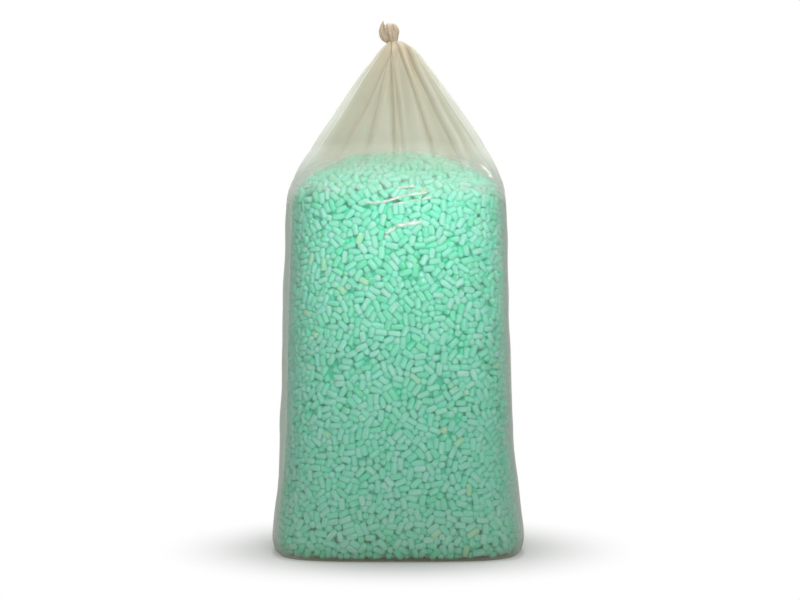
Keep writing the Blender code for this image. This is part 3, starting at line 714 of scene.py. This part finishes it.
@dataclass
class Knot:
    """The gathered neck, thrown over itself in one fat turn, with its tail standing up on the left."""

    columns: int = 80
    rings: int = 112
    parts: int = 12
    closing: tuple = (0.22, 0.45, 0.66, 0.82, 0.93)
    bends: tuple = (
        Bend(-16.0, 0.0, 1513.0, 12.5, 11.5, 0),
        Bend(-15.5, -3.0, 1521.5, 14.5, 10.5, 0),
        Bend(-18.5, -8.5, 1537.0, 19.5, 9.5, 5),
        Bend(-21.5, -7.5, 1552.0, 19.5, 9.0, 35),
        Bend(-25.0, 2.0, 1557.5, 18.0, 8.5, 95),
        Bend(-28.0, 11.0, 1548.0, 16.0, 8.0, 160),
        Bend(-30.0, 13.0, 1533.0, 14.0, 8.0, 185),
        Bend(-31.5, 8.0, 1522.0, 11.5, 8.0, 225),
        Bend(-37.0, -3.0, 1520.0, 10.5, 7.5, 290),
        Bend(-45.0, -8.5, 1528.5, 10.0, 6.5, 345),
        Bend(-49.0, -8.0, 1543.0, 8.5, 5.5, 360),
        Bend(-48.5, -5.0, 1556.0, 6.5, 4.0, 360),
        Bend(-46.5, -4.0, 1566.0, 3.5, 2.5, 360),
        Bend(-45.5, -4.0, 1572.5, 1.2, 1.0, 360),
    )
    loop_stuffing: float = 0.30
    mouth_crumple: float = 1.2 * MM
    neck_layers: float = 26.0
    tail_layers: float = 12.0
    neck_mist: float = 0.97
    tail_mist: float = 0.86

    def stations(self) -> np.ndarray:
        """Evenly spaced places on a smooth curve through the bends.

        Returns:
            Across, deep, height, half width and half thickness in metres and the turn, in each row.
        """
        known = np.array([[bend.across, bend.deep, bend.height, bend.half_width, bend.half_thickness,
                           bend.turn] for bend in self.bends])
        known[:, :5] *= MM
        fine = []
        last = len(known) - 1
        for index in range(last):
            before, start = known[max(index - 1, 0)], known[index]
            end, after = known[index + 1], known[min(index + 2, last)]
            for part in range(self.parts):
                share = part / self.parts
                fine.append(0.5 * (2 * start + (end - before) * share
                                   + (2 * before - 5 * start + 4 * end - after) * share**2
                                   + (3 * start - before - 3 * end + after) * share**3))
        table = np.array(fine + [known[-1]])
        run = np.concatenate([[0], np.cumsum(np.linalg.norm(np.diff(table[:, :3], axis=0), axis=1))])
        wanted = np.linspace(0, run[-1], self.rings)
        return np.stack([np.interp(wanted, run, table[:, column]) for column in range(6)], axis=1)

    def tube(self) -> tuple[list[np.ndarray], dict[str, list[np.ndarray]]]:
        """The rings of gathered film along the knot, with its lengthwise folds.

        Returns:
            The rings, and the film's attributes at each of their points.
        """
        stations = self.stations()
        last = len(stations) - 1
        angles = TAU * np.arange(self.columns) / self.columns
        rings = []
        values: dict[str, list[np.ndarray]] = {"layers": [], "mist": [], "cling": [], "bunched": [],
                                               "painted_fold_shade": [], "gleam": [], "polish": []}
        for index, (across, deep, height, half_width, half_thickness, turn) in enumerate(stations):
            ahead = Vector(stations[min(index + 1, last), :3] - stations[max(index - 1, 0), :3]).normalized()
            if index == 0:
                ahead = Vector((0, 0, 1))
            facing = Vector((0, -math.cos(math.radians(turn)), math.sin(math.radians(turn))))
            facing = (facing - ahead * facing.dot(ahead)).normalized()
            side = facing.cross(ahead)
            share = index / last
            twist = 1.6 * share
            folds = (0.085 * np.cos(6 * angles + 3 * twist) + 0.065 * np.cos(11 * angles - 4 * twist + 1.1)
                     + 0.045 * np.cos(19 * angles + 5 * twist + 0.4)
                     + 0.04 * np.sin(35 * share) * np.cos(3 * angles + 12 * share))
            reach = 1 + folds * min(1.0, 0.4 + 6 * share)
            stuffed = 1 + self.loop_stuffing * math.sin(math.pi * share)
            ring = (np.array([across, deep, height])[None, :]
                    + np.outer(half_width * reach * np.cos(angles), np.array(side))
                    + np.outer(half_thickness * stuffed * reach * np.sin(angles), -np.array(facing)))
            if index == last:
                # The sack's mouth is over two metres round, so its cut edge runs to and fro here
                ring += np.outer(self.mouth_crumple * (-1.0) ** np.arange(self.columns), np.array(ahead))
            rings.append(ring)
            thin = float(smooth_step(0.55, 0.95, np.array(share)))
            values["layers"].append(np.full(self.columns, self.neck_layers
                                            + thin * (self.tail_layers - self.neck_layers)))
            values["mist"].append(np.full(self.columns, self.neck_mist
                                          + thin * (self.tail_mist - self.neck_mist)))
            values["cling"].append(np.zeros(self.columns))
            values["bunched"].append(np.ones(self.columns))
            # The valleys of the knot's folds are painted darker as shade
            values["painted_fold_shade"].append(0.5 * smooth_step(0.0, 0.16, -folds))
            values["gleam"].append(np.zeros(self.columns))
            values["polish"].append(np.zeros(self.columns))
        return rings, values

    def gather(self, throat: np.ndarray) -> tuple[list[np.ndarray], tuple]:
        """The rings that draw the cone's throat in to the neck, with fewer points as they close.

        Args:
            throat: The top ring of the cone.

        Returns:
            The rings, and how far each has closed.
        """
        rings = []
        target = self.tube()[0][0]
        middle = target.mean(axis=0)
        reach = np.linalg.norm(target - middle, axis=1).mean()
        count = len(throat)
        for share in self.closing:
            if count > self.columns:
                count //= 2
            angles = TAU * np.arange(count) / count
            aim = middle + reach * np.stack([np.cos(angles), np.sin(angles), 0 * angles], axis=1)
            start = throat[:: len(throat) // count]
            rings.append(start + (aim - start) * share)
        return rings, self.closing


# ---- the peanuts ----

@dataclass(frozen=True)
class FoamedStarch:
    """Extruded foamed starch, dyed mint.

    The cells are too fine to show, so the eye sees a matt, softly lumpy skin. Dye and density vary
    from rod to rod, and a few rods stay nearly undyed and look cream. Light that reaches the gaps has
    been through several rods, so what lies deeper looks greener; that greener shade is painted into the
    colour of the deeper rods and the core.
    """

    mint: str = "#9CF9DE"
    pale: str = "#BDFBEA"
    deep: str = "#78F3CB"
    cream: str = "#C6F2CC"
    # Painted shade for rods deep in the gaps, greener and darker
    painted_gap_shade: str = "#48F2CC"
    glow_share: float = 0.6
    glow_depth: float = 7.0 * MM
    glow_reach: tuple = (0.25, 1.0, 0.7)
    skin: float = 0.004
    roughness: float = 0.8

    def make(self) -> bpy.types.Material:
        """Builds the foam's nodes.

        Returns:
            The material. It reads the point attributes dye, undyed and the share of painted gap shade.
        """
        made, tree = new_material("foamed_starch")
        dye = add_node(tree, "ShaderNodeAttribute", {"attribute_name": "dye"})
        undyed = add_node(tree, "ShaderNodeAttribute", {"attribute_name": "undyed"})
        painted_gap_shade = add_node(tree, "ShaderNodeAttribute", {"attribute_name": "painted_gap_shade"})
        where = add_node(tree, "ShaderNodeTexCoord")
        # Cells of about a millimetre, drawn 4 mm wide so that they show at all
        skin = add_node(tree, "ShaderNodeTexNoise", None,
                        {"Vector": where.outputs["Object"], "Scale": 1 / self.skin, "Detail": 2.0})
        shade = add_node(tree, "ShaderNodeValToRGB", None, {0: dye.outputs["Fac"]})
        ramp = shade.color_ramp
        ramp.elements[0].color = linear(self.deep)
        ramp.elements[1].color = linear(self.pale)
        ramp.elements.new(0.5).color = linear(self.mint)
        dyed = add_node(tree, "ShaderNodeMix", {"data_type": "RGBA"},
                        {0: undyed.outputs["Fac"], 6: shade.outputs[0], 7: linear(self.cream)})
        # Rods deeper in the heap are painted with the gap shade, standing in for the light lost in the gaps
        colour = add_node(tree, "ShaderNodeMix", {"data_type": "RGBA"},
                          {0: painted_gap_shade.outputs["Fac"], 6: dyed.outputs[2], 7: linear(self.painted_gap_shade)})
        bump = add_node(tree, "ShaderNodeBump", None,
                        {"Strength": 0.35, "Distance": 0.0008, "Height": skin.outputs[0]})
        foam = add_node(tree, "ShaderNodeBsdfPrincipled", None,
                        {"Base Color": colour.outputs[2], "Roughness": self.roughness,
                         "Subsurface Weight": self.glow_share, "Subsurface Scale": self.glow_depth,
                         "Subsurface Radius": self.glow_reach, "Normal": bump.outputs[0]})
        add_node(tree, "ShaderNodeOutputMaterial", None, {"Surface": foam.outputs[0]})
        return made


@dataclass
class PeanutHeap:
    """Thousands of foamed rods in the sack, as a shell two rods deep round a plain core."""

    shape: SackShape
    radius: float = 9.6 * MM
    lengths: tuple = (28 * MM, 38 * MM)
    rim: float = 3.2 * MM
    sides: int = 10
    clearance: float = 8.9 * MM
    film_gap: float = 5.0 * MM
    floor_gap: float = 7.0 * MM
    left_gap: float = 20 * MM
    right_gap: float = 9 * MM
    shell: float = 36 * MM
    edge_height: float = 1.028
    crown_rise: float = 0.150
    crown_flatness: float = 2.2
    crown_roundness: float = 0.62
    filling: float = 0.80
    rounds: int = 130
    quick_rounds: int = 30
    core_inset: float = 15 * MM
    bands: int = 4
    undyed_share: float = 0.014
    # The depths at which the painted gap shade starts and is full, and its largest share
    gap_shade_from: float = 1.5 * MM
    gap_shade_full: float = 14.0 * MM
    gap_shade_most: float = 0.9

    def limits(self, heights: np.ndarray) -> tuple[np.ndarray, ...]:
        """The plan of the heap's wall at some heights.

        Args:
            heights: The heights.

        Returns:
            Its left, right and front half sizes, its sideways shift and its squareness.
        """
        table = np.linspace(0, 1.3, 521)
        width = self.shape.rounded(self.shape.half_widths, table)
        depth = self.shape.rounded(self.shape.half_depths, table)
        read = [np.interp(heights, table, width), np.interp(heights, table, depth),
                np.interp(heights, table, self.shape.eased(self.shape.shifts, table)),
                np.interp(heights, table, self.shape.eased(self.shape.squareness, table))]
        stand = smooth_step(0.05, 0.30, heights)
        left = read[0] - self.film_gap - (self.left_gap - self.film_gap) * (0.35 + 0.65 * stand)
        right = read[0] - self.film_gap - (self.right_gap - self.film_gap) * (0.35 + 0.65 * stand)
        return left, right, read[1] - self.film_gap, read[2], read[3]

    def measure(self, points: np.ndarray) -> np.ndarray:
        """How far out each point lies, from 0 in the middle to 1 at the wall."""
        left, right, deep, shift, square = self.limits(points[:, 2])
        across = points[:, 0] - shift
        half = np.where(across < 0, left, right)
        return (np.abs(across / half) ** square + np.abs(points[:, 1] / deep) ** square) ** (1 / square)

    def wall(self, points: np.ndarray) -> tuple[np.ndarray, np.ndarray]:
        """The distance of points from the heap's wall.

        Args:
            points: The points, one in each row.

        Returns:
            The distance inwards from the wall, and the way outwards there.
        """
        step = 1 * MM
        here = self.measure(points)
        slope = np.stack([(self.measure(points + offset) - here) / step
                          for offset in np.eye(3) * step], axis=1)
        steep = np.maximum(np.linalg.norm(slope, axis=1), 1e-6)
        return (1 - here) / steep, slope / steep[:, None]

    def roof(self, points: np.ndarray) -> tuple[np.ndarray, np.ndarray]:
        """The distance of points below the heap's domed top.

        Args:
            points: The points, one in each row.

        Returns:
            The distance below it, and the way outwards there.
        """
        step = 1 * MM

        def height(at: np.ndarray) -> np.ndarray:
            """The height of the top over each point."""
            flat = at.copy()
            flat[:, 2] = self.edge_height
            out = np.clip(self.measure(flat), 0, 1.2)
            lumps = (np.sin(31 * at[:, 0] + 2) * np.sin(27 * at[:, 1] + 1)
                     + 0.6 * np.sin(57 * at[:, 0]) * np.sin(49 * at[:, 1] + 2))
            round_top = (1 - np.minimum(out, 1) ** self.crown_flatness) ** self.crown_roundness
            return self.edge_height + self.crown_rise * round_top + 4 * MM * lumps

        here = height(points)
        slope = np.stack([(height(points + offset) - here) / step
                          for offset in np.eye(3)[:2] * step] + [-np.ones(len(points))], axis=1)
        steep = np.linalg.norm(slope, axis=1)
        return (here - points[:, 2]) / steep, -slope / steep[:, None]

    def depth(self, points: np.ndarray) -> tuple[np.ndarray, np.ndarray]:
        """How deep points lie in the heap, from its wall, its top or its floor, and the way out."""
        side, side_out = self.wall(points)
        top, top_out = self.roof(points)
        floor = points[:, 2] - self.floor_gap
        nearest = np.argmin(np.stack([side, top, floor]), axis=0)
        down = np.zeros_like(points)
        down[:, 2] = -1
        out = np.where((nearest == 0)[:, None], side_out, np.where((nearest == 1)[:, None], top_out, down))
        return np.minimum(np.minimum(side, top), floor), out

    def scatter(self, draw: np.random.Generator) -> tuple[np.ndarray, np.ndarray, np.ndarray]:
        """Throws rods into the shell at random, mostly lying along its wall.

        Args:
            draw: The random numbers.

        Returns:
            The middle, the direction and the length of each rod.
        """
        low = np.array([-0.37, -0.31, 0.0])
        high = np.array([0.37, 0.31, 1.21])
        tries = low + (high - low) * draw.random((420_000, 3))
        deep, _ = self.depth(tries)
        room = (high - low).prod() * np.mean((deep > 0) & (deep < self.shell))
        length = sum(self.lengths) / 2
        count = round(room * self.filling / (math.pi * self.radius**2 * length))
        inside = np.flatnonzero((deep > self.radius) & (deep < self.shell - 0.8 * self.radius))[:count]
        middles = tries[inside]
        _, out = self.depth(middles)
        ways = draw.normal(size=middles.shape)
        ways -= 0.40 * out * np.sum(ways * out, axis=1, keepdims=True)
        ways /= np.linalg.norm(ways, axis=1, keepdims=True)
        return middles, ways, draw.uniform(*self.lengths, len(middles))

    def fixed_rods(self) -> tuple[np.ndarray, np.ndarray, np.ndarray]:
        """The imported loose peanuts.

        Returns:
            The middle, the direction and the length of each.
        """
        middles, ways, lengths = [], [], []
        for name in self.loose_names():
            points = np.array([vertex.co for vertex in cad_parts[name].data.vertices])
            middle = (points.max(axis=0) + points.min(axis=0)) / 2
            way = np.linalg.svd(points - middle, full_matrices=False)[2][0]
            along = (points - middle) @ way
            middles.append(middle)
            ways.append(way)
            lengths.append(along.max() - along.min())
        return np.array(middles), np.array(ways), np.array(lengths)

    def loose_names(self) -> list[str]:
        """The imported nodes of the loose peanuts."""
        return sorted(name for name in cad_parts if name.startswith("peanut_") and name != "peanut_heap")

    def pairs(self, centres: np.ndarray) -> tuple[np.ndarray, np.ndarray]:
        """Finds the balls that may touch each other, by the boxes of a grid that they lie in.

        Args:
            centres: The middle of each ball.

        Returns:
            The numbers of the balls of each pair.
        """
        cell = 2 * self.clearance
        boxes = np.floor((centres - centres.min(axis=0)) / cell).astype(np.int64) + 1
        size = boxes.max(axis=0) + 2
        key = (boxes[:, 0] * size[1] + boxes[:, 1]) * size[2] + boxes[:, 2]
        order = np.argsort(key, kind="stable")
        ordered = key[order]
        firsts, seconds = [], []
        for dx in (0, 1):
            for dy in (-1, 0, 1):
                for dz in (-1, 0, 1):
                    if (dx, dy, dz) < (0, 0, 0):
                        continue
                    wanted = key + (dx * size[1] + dy) * size[2] + dz
                    start = np.searchsorted(ordered, wanted, side="left")
                    count = np.searchsorted(ordered, wanted, side="right") - start
                    first = np.repeat(np.arange(len(centres)), count)
                    run = np.arange(len(first)) - np.repeat(np.cumsum(count) - count, count)
                    second = order[np.repeat(start, count) + run]
                    if (dx, dy, dz) == (0, 0, 0):
                        kept = first < second
                        first, second = first[kept], second[kept]
                    firsts.append(first)
                    seconds.append(second)
        return np.concatenate(firsts), np.concatenate(seconds)

    def settle(self, middles: np.ndarray, ways: np.ndarray, lengths: np.ndarray, held: int) -> tuple:
        """Pushes rods apart and back into the heap until they lie beside each other.

        Each rod is three balls in a row. The first rods, as many as held, don't move.

        Args:
            middles: The middle of each rod.
            ways: The direction of each rod.
            lengths: The length of each rod.
            held: How many rods stay where they are.

        Returns:
            The settled middles and directions.
        """
        reach = lengths / 2 - self.clearance
        offsets = np.stack([-reach, 0 * reach, reach], axis=1)
        count = len(middles)
        rounds = self.rounds
        for step in range(rounds):
            balls = (middles[:, None, :] + offsets[:, :, None] * ways[:, None, :]).reshape(-1, 3)
            first, second = self.pairs(balls)
            other = first // 3 != second // 3
            first, second = first[other], second[other]
            gap = balls[first] - balls[second]
            far = np.linalg.norm(gap, axis=1)
            near = far < 2 * self.clearance
            first, second, gap, far = first[near], second[near], gap[near], np.maximum(far[near], 1e-6)
            push = gap * (0.5 * (2 * self.clearance - far) / far)[:, None]
            shift = np.zeros_like(balls)
            for axis in range(3):
                shift[:, axis] += np.bincount(first, push[:, axis], len(balls))
                shift[:, axis] -= np.bincount(second, push[:, axis], len(balls))
            deep, out = self.depth(balls)
            over = np.minimum(deep - self.clearance, 0)
            under = np.maximum(deep - (self.shell - self.clearance), 0)
            press = 0.10 * MM * (1 - step / rounds)
            shift += out * (over + 0.5 * under + press)[:, None]
            shift = shift.reshape(count, 3, 3)
            move = shift.mean(axis=1) * 1.1
            turn = np.sum(shift * offsets[:, :, None], axis=1) / (2 * reach**2)[:, None]
            most = np.linalg.norm(turn, axis=1, keepdims=True)
            turn *= np.minimum(1, 0.3 / np.maximum(most, 1e-6))
            move[:held] = 0
            turn[:held] = 0
            middles = middles + move
            ways = ways + turn
            ways /= np.linalg.norm(ways, axis=1, keepdims=True)
        log.info("settled %d rods, last overlaps: %d, mean %.2f mm", count, len(far),
                 float((2 * self.clearance - far).mean()) / MM if len(far) else 0.0)
        lowest = (middles[held:, 2] - np.abs(offsets[held:, 2] * ways[held:, 2]) - 1.15 * self.radius
                  - 0.5 * self.floor_gap)
        middles[held:, 2] -= np.minimum(lowest, 0)
        return middles, ways

    def prototype(self) -> bpy.types.Object:
        """Models one rod, a cylinder with rounded rims, at the rods' radius and mean length before scaling.

        Returns:
            The rod's object.
        """
        length = sum(self.lengths) / 2
        bpy.ops.object.select_all(action="DESELECT")
        bpy.ops.mesh.primitive_cylinder_add(vertices=self.sides, radius=self.radius, depth=length,
                                            end_fill_type="NGON")
        rod = bpy.context.object
        bpy.ops.object.mode_set(mode="EDIT")
        bpy.ops.mesh.select_mode(type="EDGE")
        bpy.ops.mesh.select_all(action="DESELECT")
        bpy.ops.object.mode_set(mode="OBJECT")
        for edge in rod.data.edges:
            low, high = (rod.data.vertices[number].co.z for number in edge.vertices)
            edge.select = abs(low - high) < 0.1 * MM
        bpy.ops.object.mode_set(mode="EDIT")
        bpy.ops.mesh.bevel(offset=self.rim, segments=1, profile=0.6)
        bpy.ops.object.mode_set(mode="OBJECT")
        return rod

    def copies(self, rod: bpy.types.Object, middles: np.ndarray, ways: np.ndarray, lengths: np.ndarray,
               draw: np.random.Generator) -> tuple[np.ndarray, np.ndarray, dict[str, np.ndarray]]:
        """Copies the rod to each place, a little different each time.

        Args:
            rod: The modelled rod.
            middles: The middle of each copy.
            ways: The direction of each copy.
            lengths: The length of each copy.
            draw: The random numbers.

        Returns:
            The copies' points and triangles, and their foam's attributes.
        """
        rod.data.calc_loop_triangles()
        base = np.array([vertex.co for vertex in rod.data.vertices])
        triangles = np.array([item.vertices for item in rod.data.loop_triangles])
        count, corners = len(middles), len(base)
        long = lengths / (sum(self.lengths) / 2)
        wide = draw.uniform(0.93, 1.06, count)
        points = base[None] * np.stack([wide, wide * draw.uniform(0.93, 1.07, count), long], axis=1)[:, None, :]
        bow = draw.normal(0, 2.2 * MM, count)[:, None]
        points[..., 0] += bow * (1 - (points[..., 2] / (lengths[:, None] / 2)) ** 2) - 0.5 * bow
        points += draw.normal(0, 0.25 * MM, points.shape)
        aside = draw.normal(size=ways.shape)
        aside -= ways * np.sum(aside * ways, axis=1, keepdims=True)
        aside /= np.linalg.norm(aside, axis=1, keepdims=True)
        third = np.cross(ways, aside)
        points = (middles[:, None] + points[..., 0:1] * aside[:, None] + points[..., 1:2] * third[:, None]
                  + points[..., 2:3] * ways[:, None])
        points = points.reshape(-1, 3)
        faces = (triangles[None] + (np.arange(count) * corners)[:, None, None]).reshape(-1, 3)
        dye = np.clip(draw.normal(0.5, 0.20, count), 0, 1)
        undyed = (draw.random(count) < self.undyed_share) * draw.uniform(0.5, 1, count)
        # Deeper rods get more of the painted gap shade
        painted_gap_shade = self.gap_shade_most * smooth_step(self.gap_shade_from, self.gap_shade_full, self.depth(points)[0])
        return points, faces, {"dye": np.repeat(dye, corners), "undyed": np.repeat(undyed, corners),
                               "painted_gap_shade": painted_gap_shade}

    def core(self) -> bpy.types.Object:
        """The plain filling behind the rods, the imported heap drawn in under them.

        Returns:
            The core's object.
        """
        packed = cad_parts["peanut_heap"]
        core = bpy.data.objects.new("heap_core", packed.data.copy())
        core.data.materials.clear()
        bpy.context.scene.collection.objects.link(core)
        bpy.ops.object.select_all(action="DESELECT")
        bpy.context.view_layer.objects.active = core
        core.select_set(True)
        bpy.ops.object.mode_set(mode="EDIT")
        bpy.ops.mesh.select_all(action="SELECT")
        bpy.ops.mesh.remove_doubles(threshold=0.01 * MM)
        bpy.ops.mesh.vertices_smooth(factor=0.5, repeat=3)
        bpy.ops.transform.shrink_fatten(value=-self.core_inset)
        bpy.ops.object.mode_set(mode="OBJECT")
        core.data.shade_smooth()
        count = len(core.data.vertices)
        # The core is painted with the gap shade throughout
        for title, value in (("dye", 0.0), ("undyed", 0.0), ("painted_gap_shade", self.gap_shade_most)):
            made = core.data.attributes.new(title, "FLOAT", "POINT")
            made.data.foreach_set("value", np.full(count, value, np.float32))
        return core

    def build(self) -> list[bpy.types.Object]:
        """Makes the core, the rods in bands from the floor up, and the loose rods on top.

        Returns:
            The heap's objects.
        """
        draw = np.random.default_rng(SEED)
        fixed, fixed_ways, fixed_lengths = self.fixed_rods()
        middles, ways, lengths = self.scatter(draw)
        held = len(fixed)
        lengths = np.concatenate([fixed_lengths, lengths])
        middles, ways = self.settle(np.concatenate([fixed, middles]), np.concatenate([fixed_ways, ways]),
                                    lengths, held)
        rod = self.prototype()
        pieces = [self.core()]
        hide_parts("peanut_heap")
        order = held + np.argsort(middles[held:, 2])
        for number, chosen in enumerate(np.array_split(order, self.bands)):
            points, faces, values = self.copies(rod, middles[chosen], ways[chosen], lengths[chosen], draw)
            band = mesh_object(f"peanuts_band_{number + 1}", points, faces, values)
            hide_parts("peanut_heap")
            pieces.append(band)
        for number, name in enumerate(self.loose_names()):
            one = slice(number, number + 1)
            points, faces, values = self.copies(rod, middles[one], ways[one], lengths[one], draw)
            loose = mesh_object(f"loose_{name}", points, faces, values)
            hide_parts(name)
            pieces.append(loose)
        bpy.data.objects.remove(rod, do_unlink=True)
        return pieces

    def dress(self, pieces: list[bpy.types.Object], look: bpy.types.Material) -> None:
        """Gives every piece of the heap its foam and lets it ride with the sack."""
        for piece in pieces:
            piece.data.materials.append(look)
            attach(piece, "root")


# ---- the studio ----

class Glow(Enum):
    """What a lamp does: it lights surfaces, or it only shows as glints in gloss."""

    LIGHT = "light"
    GLINT = "glint"


@dataclass
class Studio:
    """A plain pale floor, soft light and the camera at the photograph's angle."""

    paper: str = "#ECECEA"
    floor_reach: float = 6.0
    shadow_reach: tuple = (0.22, 0.74)
    distance: float = 4.8
    eye_height: float = 0.7377
    eye_shift: float = 0.0051
    lens: float = 72.0
    ambient: float = 0.22
    key_power: float = 3.2
    key_spread: float = 58.0
    fill_power: float = 28.0
    top_power: float = 53.0
    left_power: float = 1.4
    right_power: float = 0.65
    rim_spread: float = 26.0
    sheen_power: float = 1.2
    streak_power: float = 2.2

    def floor(self) -> bpy.types.Object:
        """A pale paper floor that whitens away from the sack, as the background does.

        Returns:
            The floor's object.
        """
        bpy.ops.object.select_all(action="DESELECT")
        bpy.ops.mesh.primitive_circle_add(vertices=64, radius=self.floor_reach, fill_type="NGON",
                                          location=(0, 0, -0.4 * MM))
        floor = bpy.context.object
        floor.name = "floor"
        floor.data.transform(floor.matrix_world)
        floor.matrix_world.identity()
        made, tree = new_material("paper_floor")
        where = add_node(tree, "ShaderNodeTexCoord")
        far = add_node(tree, "ShaderNodeVectorMath", {"operation": "LENGTH"}, {0: where.outputs["Object"]})
        near, wide = self.shadow_reach
        fade = add_node(tree, "ShaderNodeMapRange", {"interpolation_type": "SMOOTHSTEP"},
                        {"Value": far.outputs["Value"], "From Min": near, "From Max": wide})
        seen = self.seen(tree)
        share = add_node(tree, "ShaderNodeMath", {"operation": "MULTIPLY"},
                         {0: fade.outputs[0], 1: seen.outputs[0]})
        paper = add_node(tree, "ShaderNodeBsdfDiffuse", None, {"Color": linear(self.paper)})
        white = add_node(tree, "ShaderNodeEmission", None, {"Color": linear("#FFFFFF"), "Strength": 1.0})
        whole = add_node(tree, "ShaderNodeMixShader", None,
                         {0: share.outputs[0], 1: paper.outputs[0], 2: white.outputs[0]})
        add_node(tree, "ShaderNodeOutputMaterial", None, {"Surface": whole.outputs[0]})
        floor.data.materials.append(made)
        return floor

    def seen(self, tree: bpy.types.NodeTree) -> bpy.types.Node:
        """A node that is 1 for the rays that see the background, straight or by gloss or glass."""
        path = add_node(tree, "ShaderNodeLightPath")
        both = add_node(tree, "ShaderNodeMath", {"operation": "MAXIMUM"},
                        {0: path.outputs["Is Camera Ray"], 1: path.outputs["Is Glossy Ray"]})
        return add_node(tree, "ShaderNodeMath", {"operation": "MAXIMUM"},
                        {0: both.outputs[0], 1: path.outputs["Is Transmission Ray"]})

    def world(self) -> None:
        """A white background, and a plain soft light from all round."""
        world = bpy.data.worlds.new("studio")
        bpy.context.scene.world = world
        world.use_nodes = True
        tree = world.node_tree
        tree.nodes.clear()
        seen = self.seen(tree)
        level = add_node(tree, "ShaderNodeMapRange", None,
                         {"Value": seen.outputs[0], "To Min": self.ambient, "To Max": 1.0})
        light = add_node(tree, "ShaderNodeBackground", None,
                         {"Color": linear("#FFFFFF"), "Strength": level.outputs[0]})
        add_node(tree, "ShaderNodeOutputWorld", None, {"Surface": light.outputs[0]})

    def lamp(self, name: str, place: tuple, aim: tuple, size: tuple, power: float, glow: Glow,
             spread: float = 180.0) -> None:
        """Adds a soft box.

        Args:
            name: The lamp's name.
            place: Where it stands.
            aim: The point that it faces.
            size: Its width and height.
            power: Its power in watts.
            glow: Whether it lights surfaces or only shows in gloss.
            spread: How wide its light fans out, in degrees.
        """
        data = bpy.data.lights.new(name, "AREA")
        data.shape = "RECTANGLE"
        data.size, data.size_y = size
        data.energy = power
        data.spread = math.radians(spread)
        lamp = bpy.data.objects.new(name, data)
        bpy.context.scene.collection.objects.link(lamp)
        lamp.visible_camera = False
        lamp.visible_glossy = glow is Glow.GLINT
        lamp.visible_diffuse = lamp.visible_transmission = glow is Glow.LIGHT
        lamp.location = place
        lamp.rotation_euler = (Vector(aim) - Vector(place)).to_track_quat("-Z", "Y").to_euler()

    def camera(self) -> None:
        """The camera, level and straight in front of the sack."""
        data = bpy.data.cameras.new("camera")
        data.sensor_width = 36.0
        data.lens = self.lens
        camera = bpy.data.objects.new("camera", data)
        bpy.context.scene.collection.objects.link(camera)
        camera.location = (self.eye_shift, -self.distance, self.eye_height)
        camera.rotation_euler = (math.pi / 2, 0, 0)
        bpy.context.scene.camera = camera

    def build(self) -> None:
        """Sets up the floor, the light and the camera."""
        self.floor()
        self.world()
        self.lamp("key", (0.3, -1.8, 1.6), (0.04, -0.3, 1.2), (0.8, 0.6), self.key_power, Glow.LIGHT,
                  self.key_spread)
        self.lamp("fill", (0.2, -3.4, 1.3), (0, -0.3, 0.5), (1.4, 1.0), self.fill_power, Glow.LIGHT)
        self.lamp("top", (0.0, 0.25, 3.1), (0, 0.0, 0), (1.4, 1.4), self.top_power, Glow.LIGHT)
        self.lamp("left", (-1.7, 1.3, 2.3), (0, 0, 1.35), (0.7, 0.7), self.left_power, Glow.LIGHT,
                  self.rim_spread)
        self.lamp("right", (1.7, 1.3, 2.3), (0, 0, 1.35), (0.7, 0.7), self.right_power, Glow.LIGHT,
                  self.rim_spread)
        self.lamp("sheen", (0.7, -0.9, 3.2), (0, -0.2, 1.0), (1.0, 0.8), self.sheen_power, Glow.GLINT)
        self.lamp("streak", (2.2, 0.9, 2.7), (0.2, -0.1, 1.3), (0.4, 0.8), self.streak_power, Glow.GLINT)
        self.camera()
        bpy.context.scene.view_settings.view_transform = "Standard"


def main() -> None:
    """Builds and dresses the sack, its peanuts and the studio round them."""
    logging.basicConfig(level=logging.INFO, format="%(message)s")
    shape = SackShape()
    sack = FilmSack(shape)
    film = sack.build()
    sack.dress(film, BlownFilm().make())
    log.info("%s: %d faces", film.name, len(film.data.polygons))
    heap = PeanutHeap(shape)
    pieces = heap.build()
    heap.dress(pieces, FoamedStarch().make())
    for piece in pieces[:heap.bands + 1]:
        log.info("%s: %d faces", piece.name, len(piece.data.polygons))
    Studio().build()


if __name__ == "__main__":
    main()
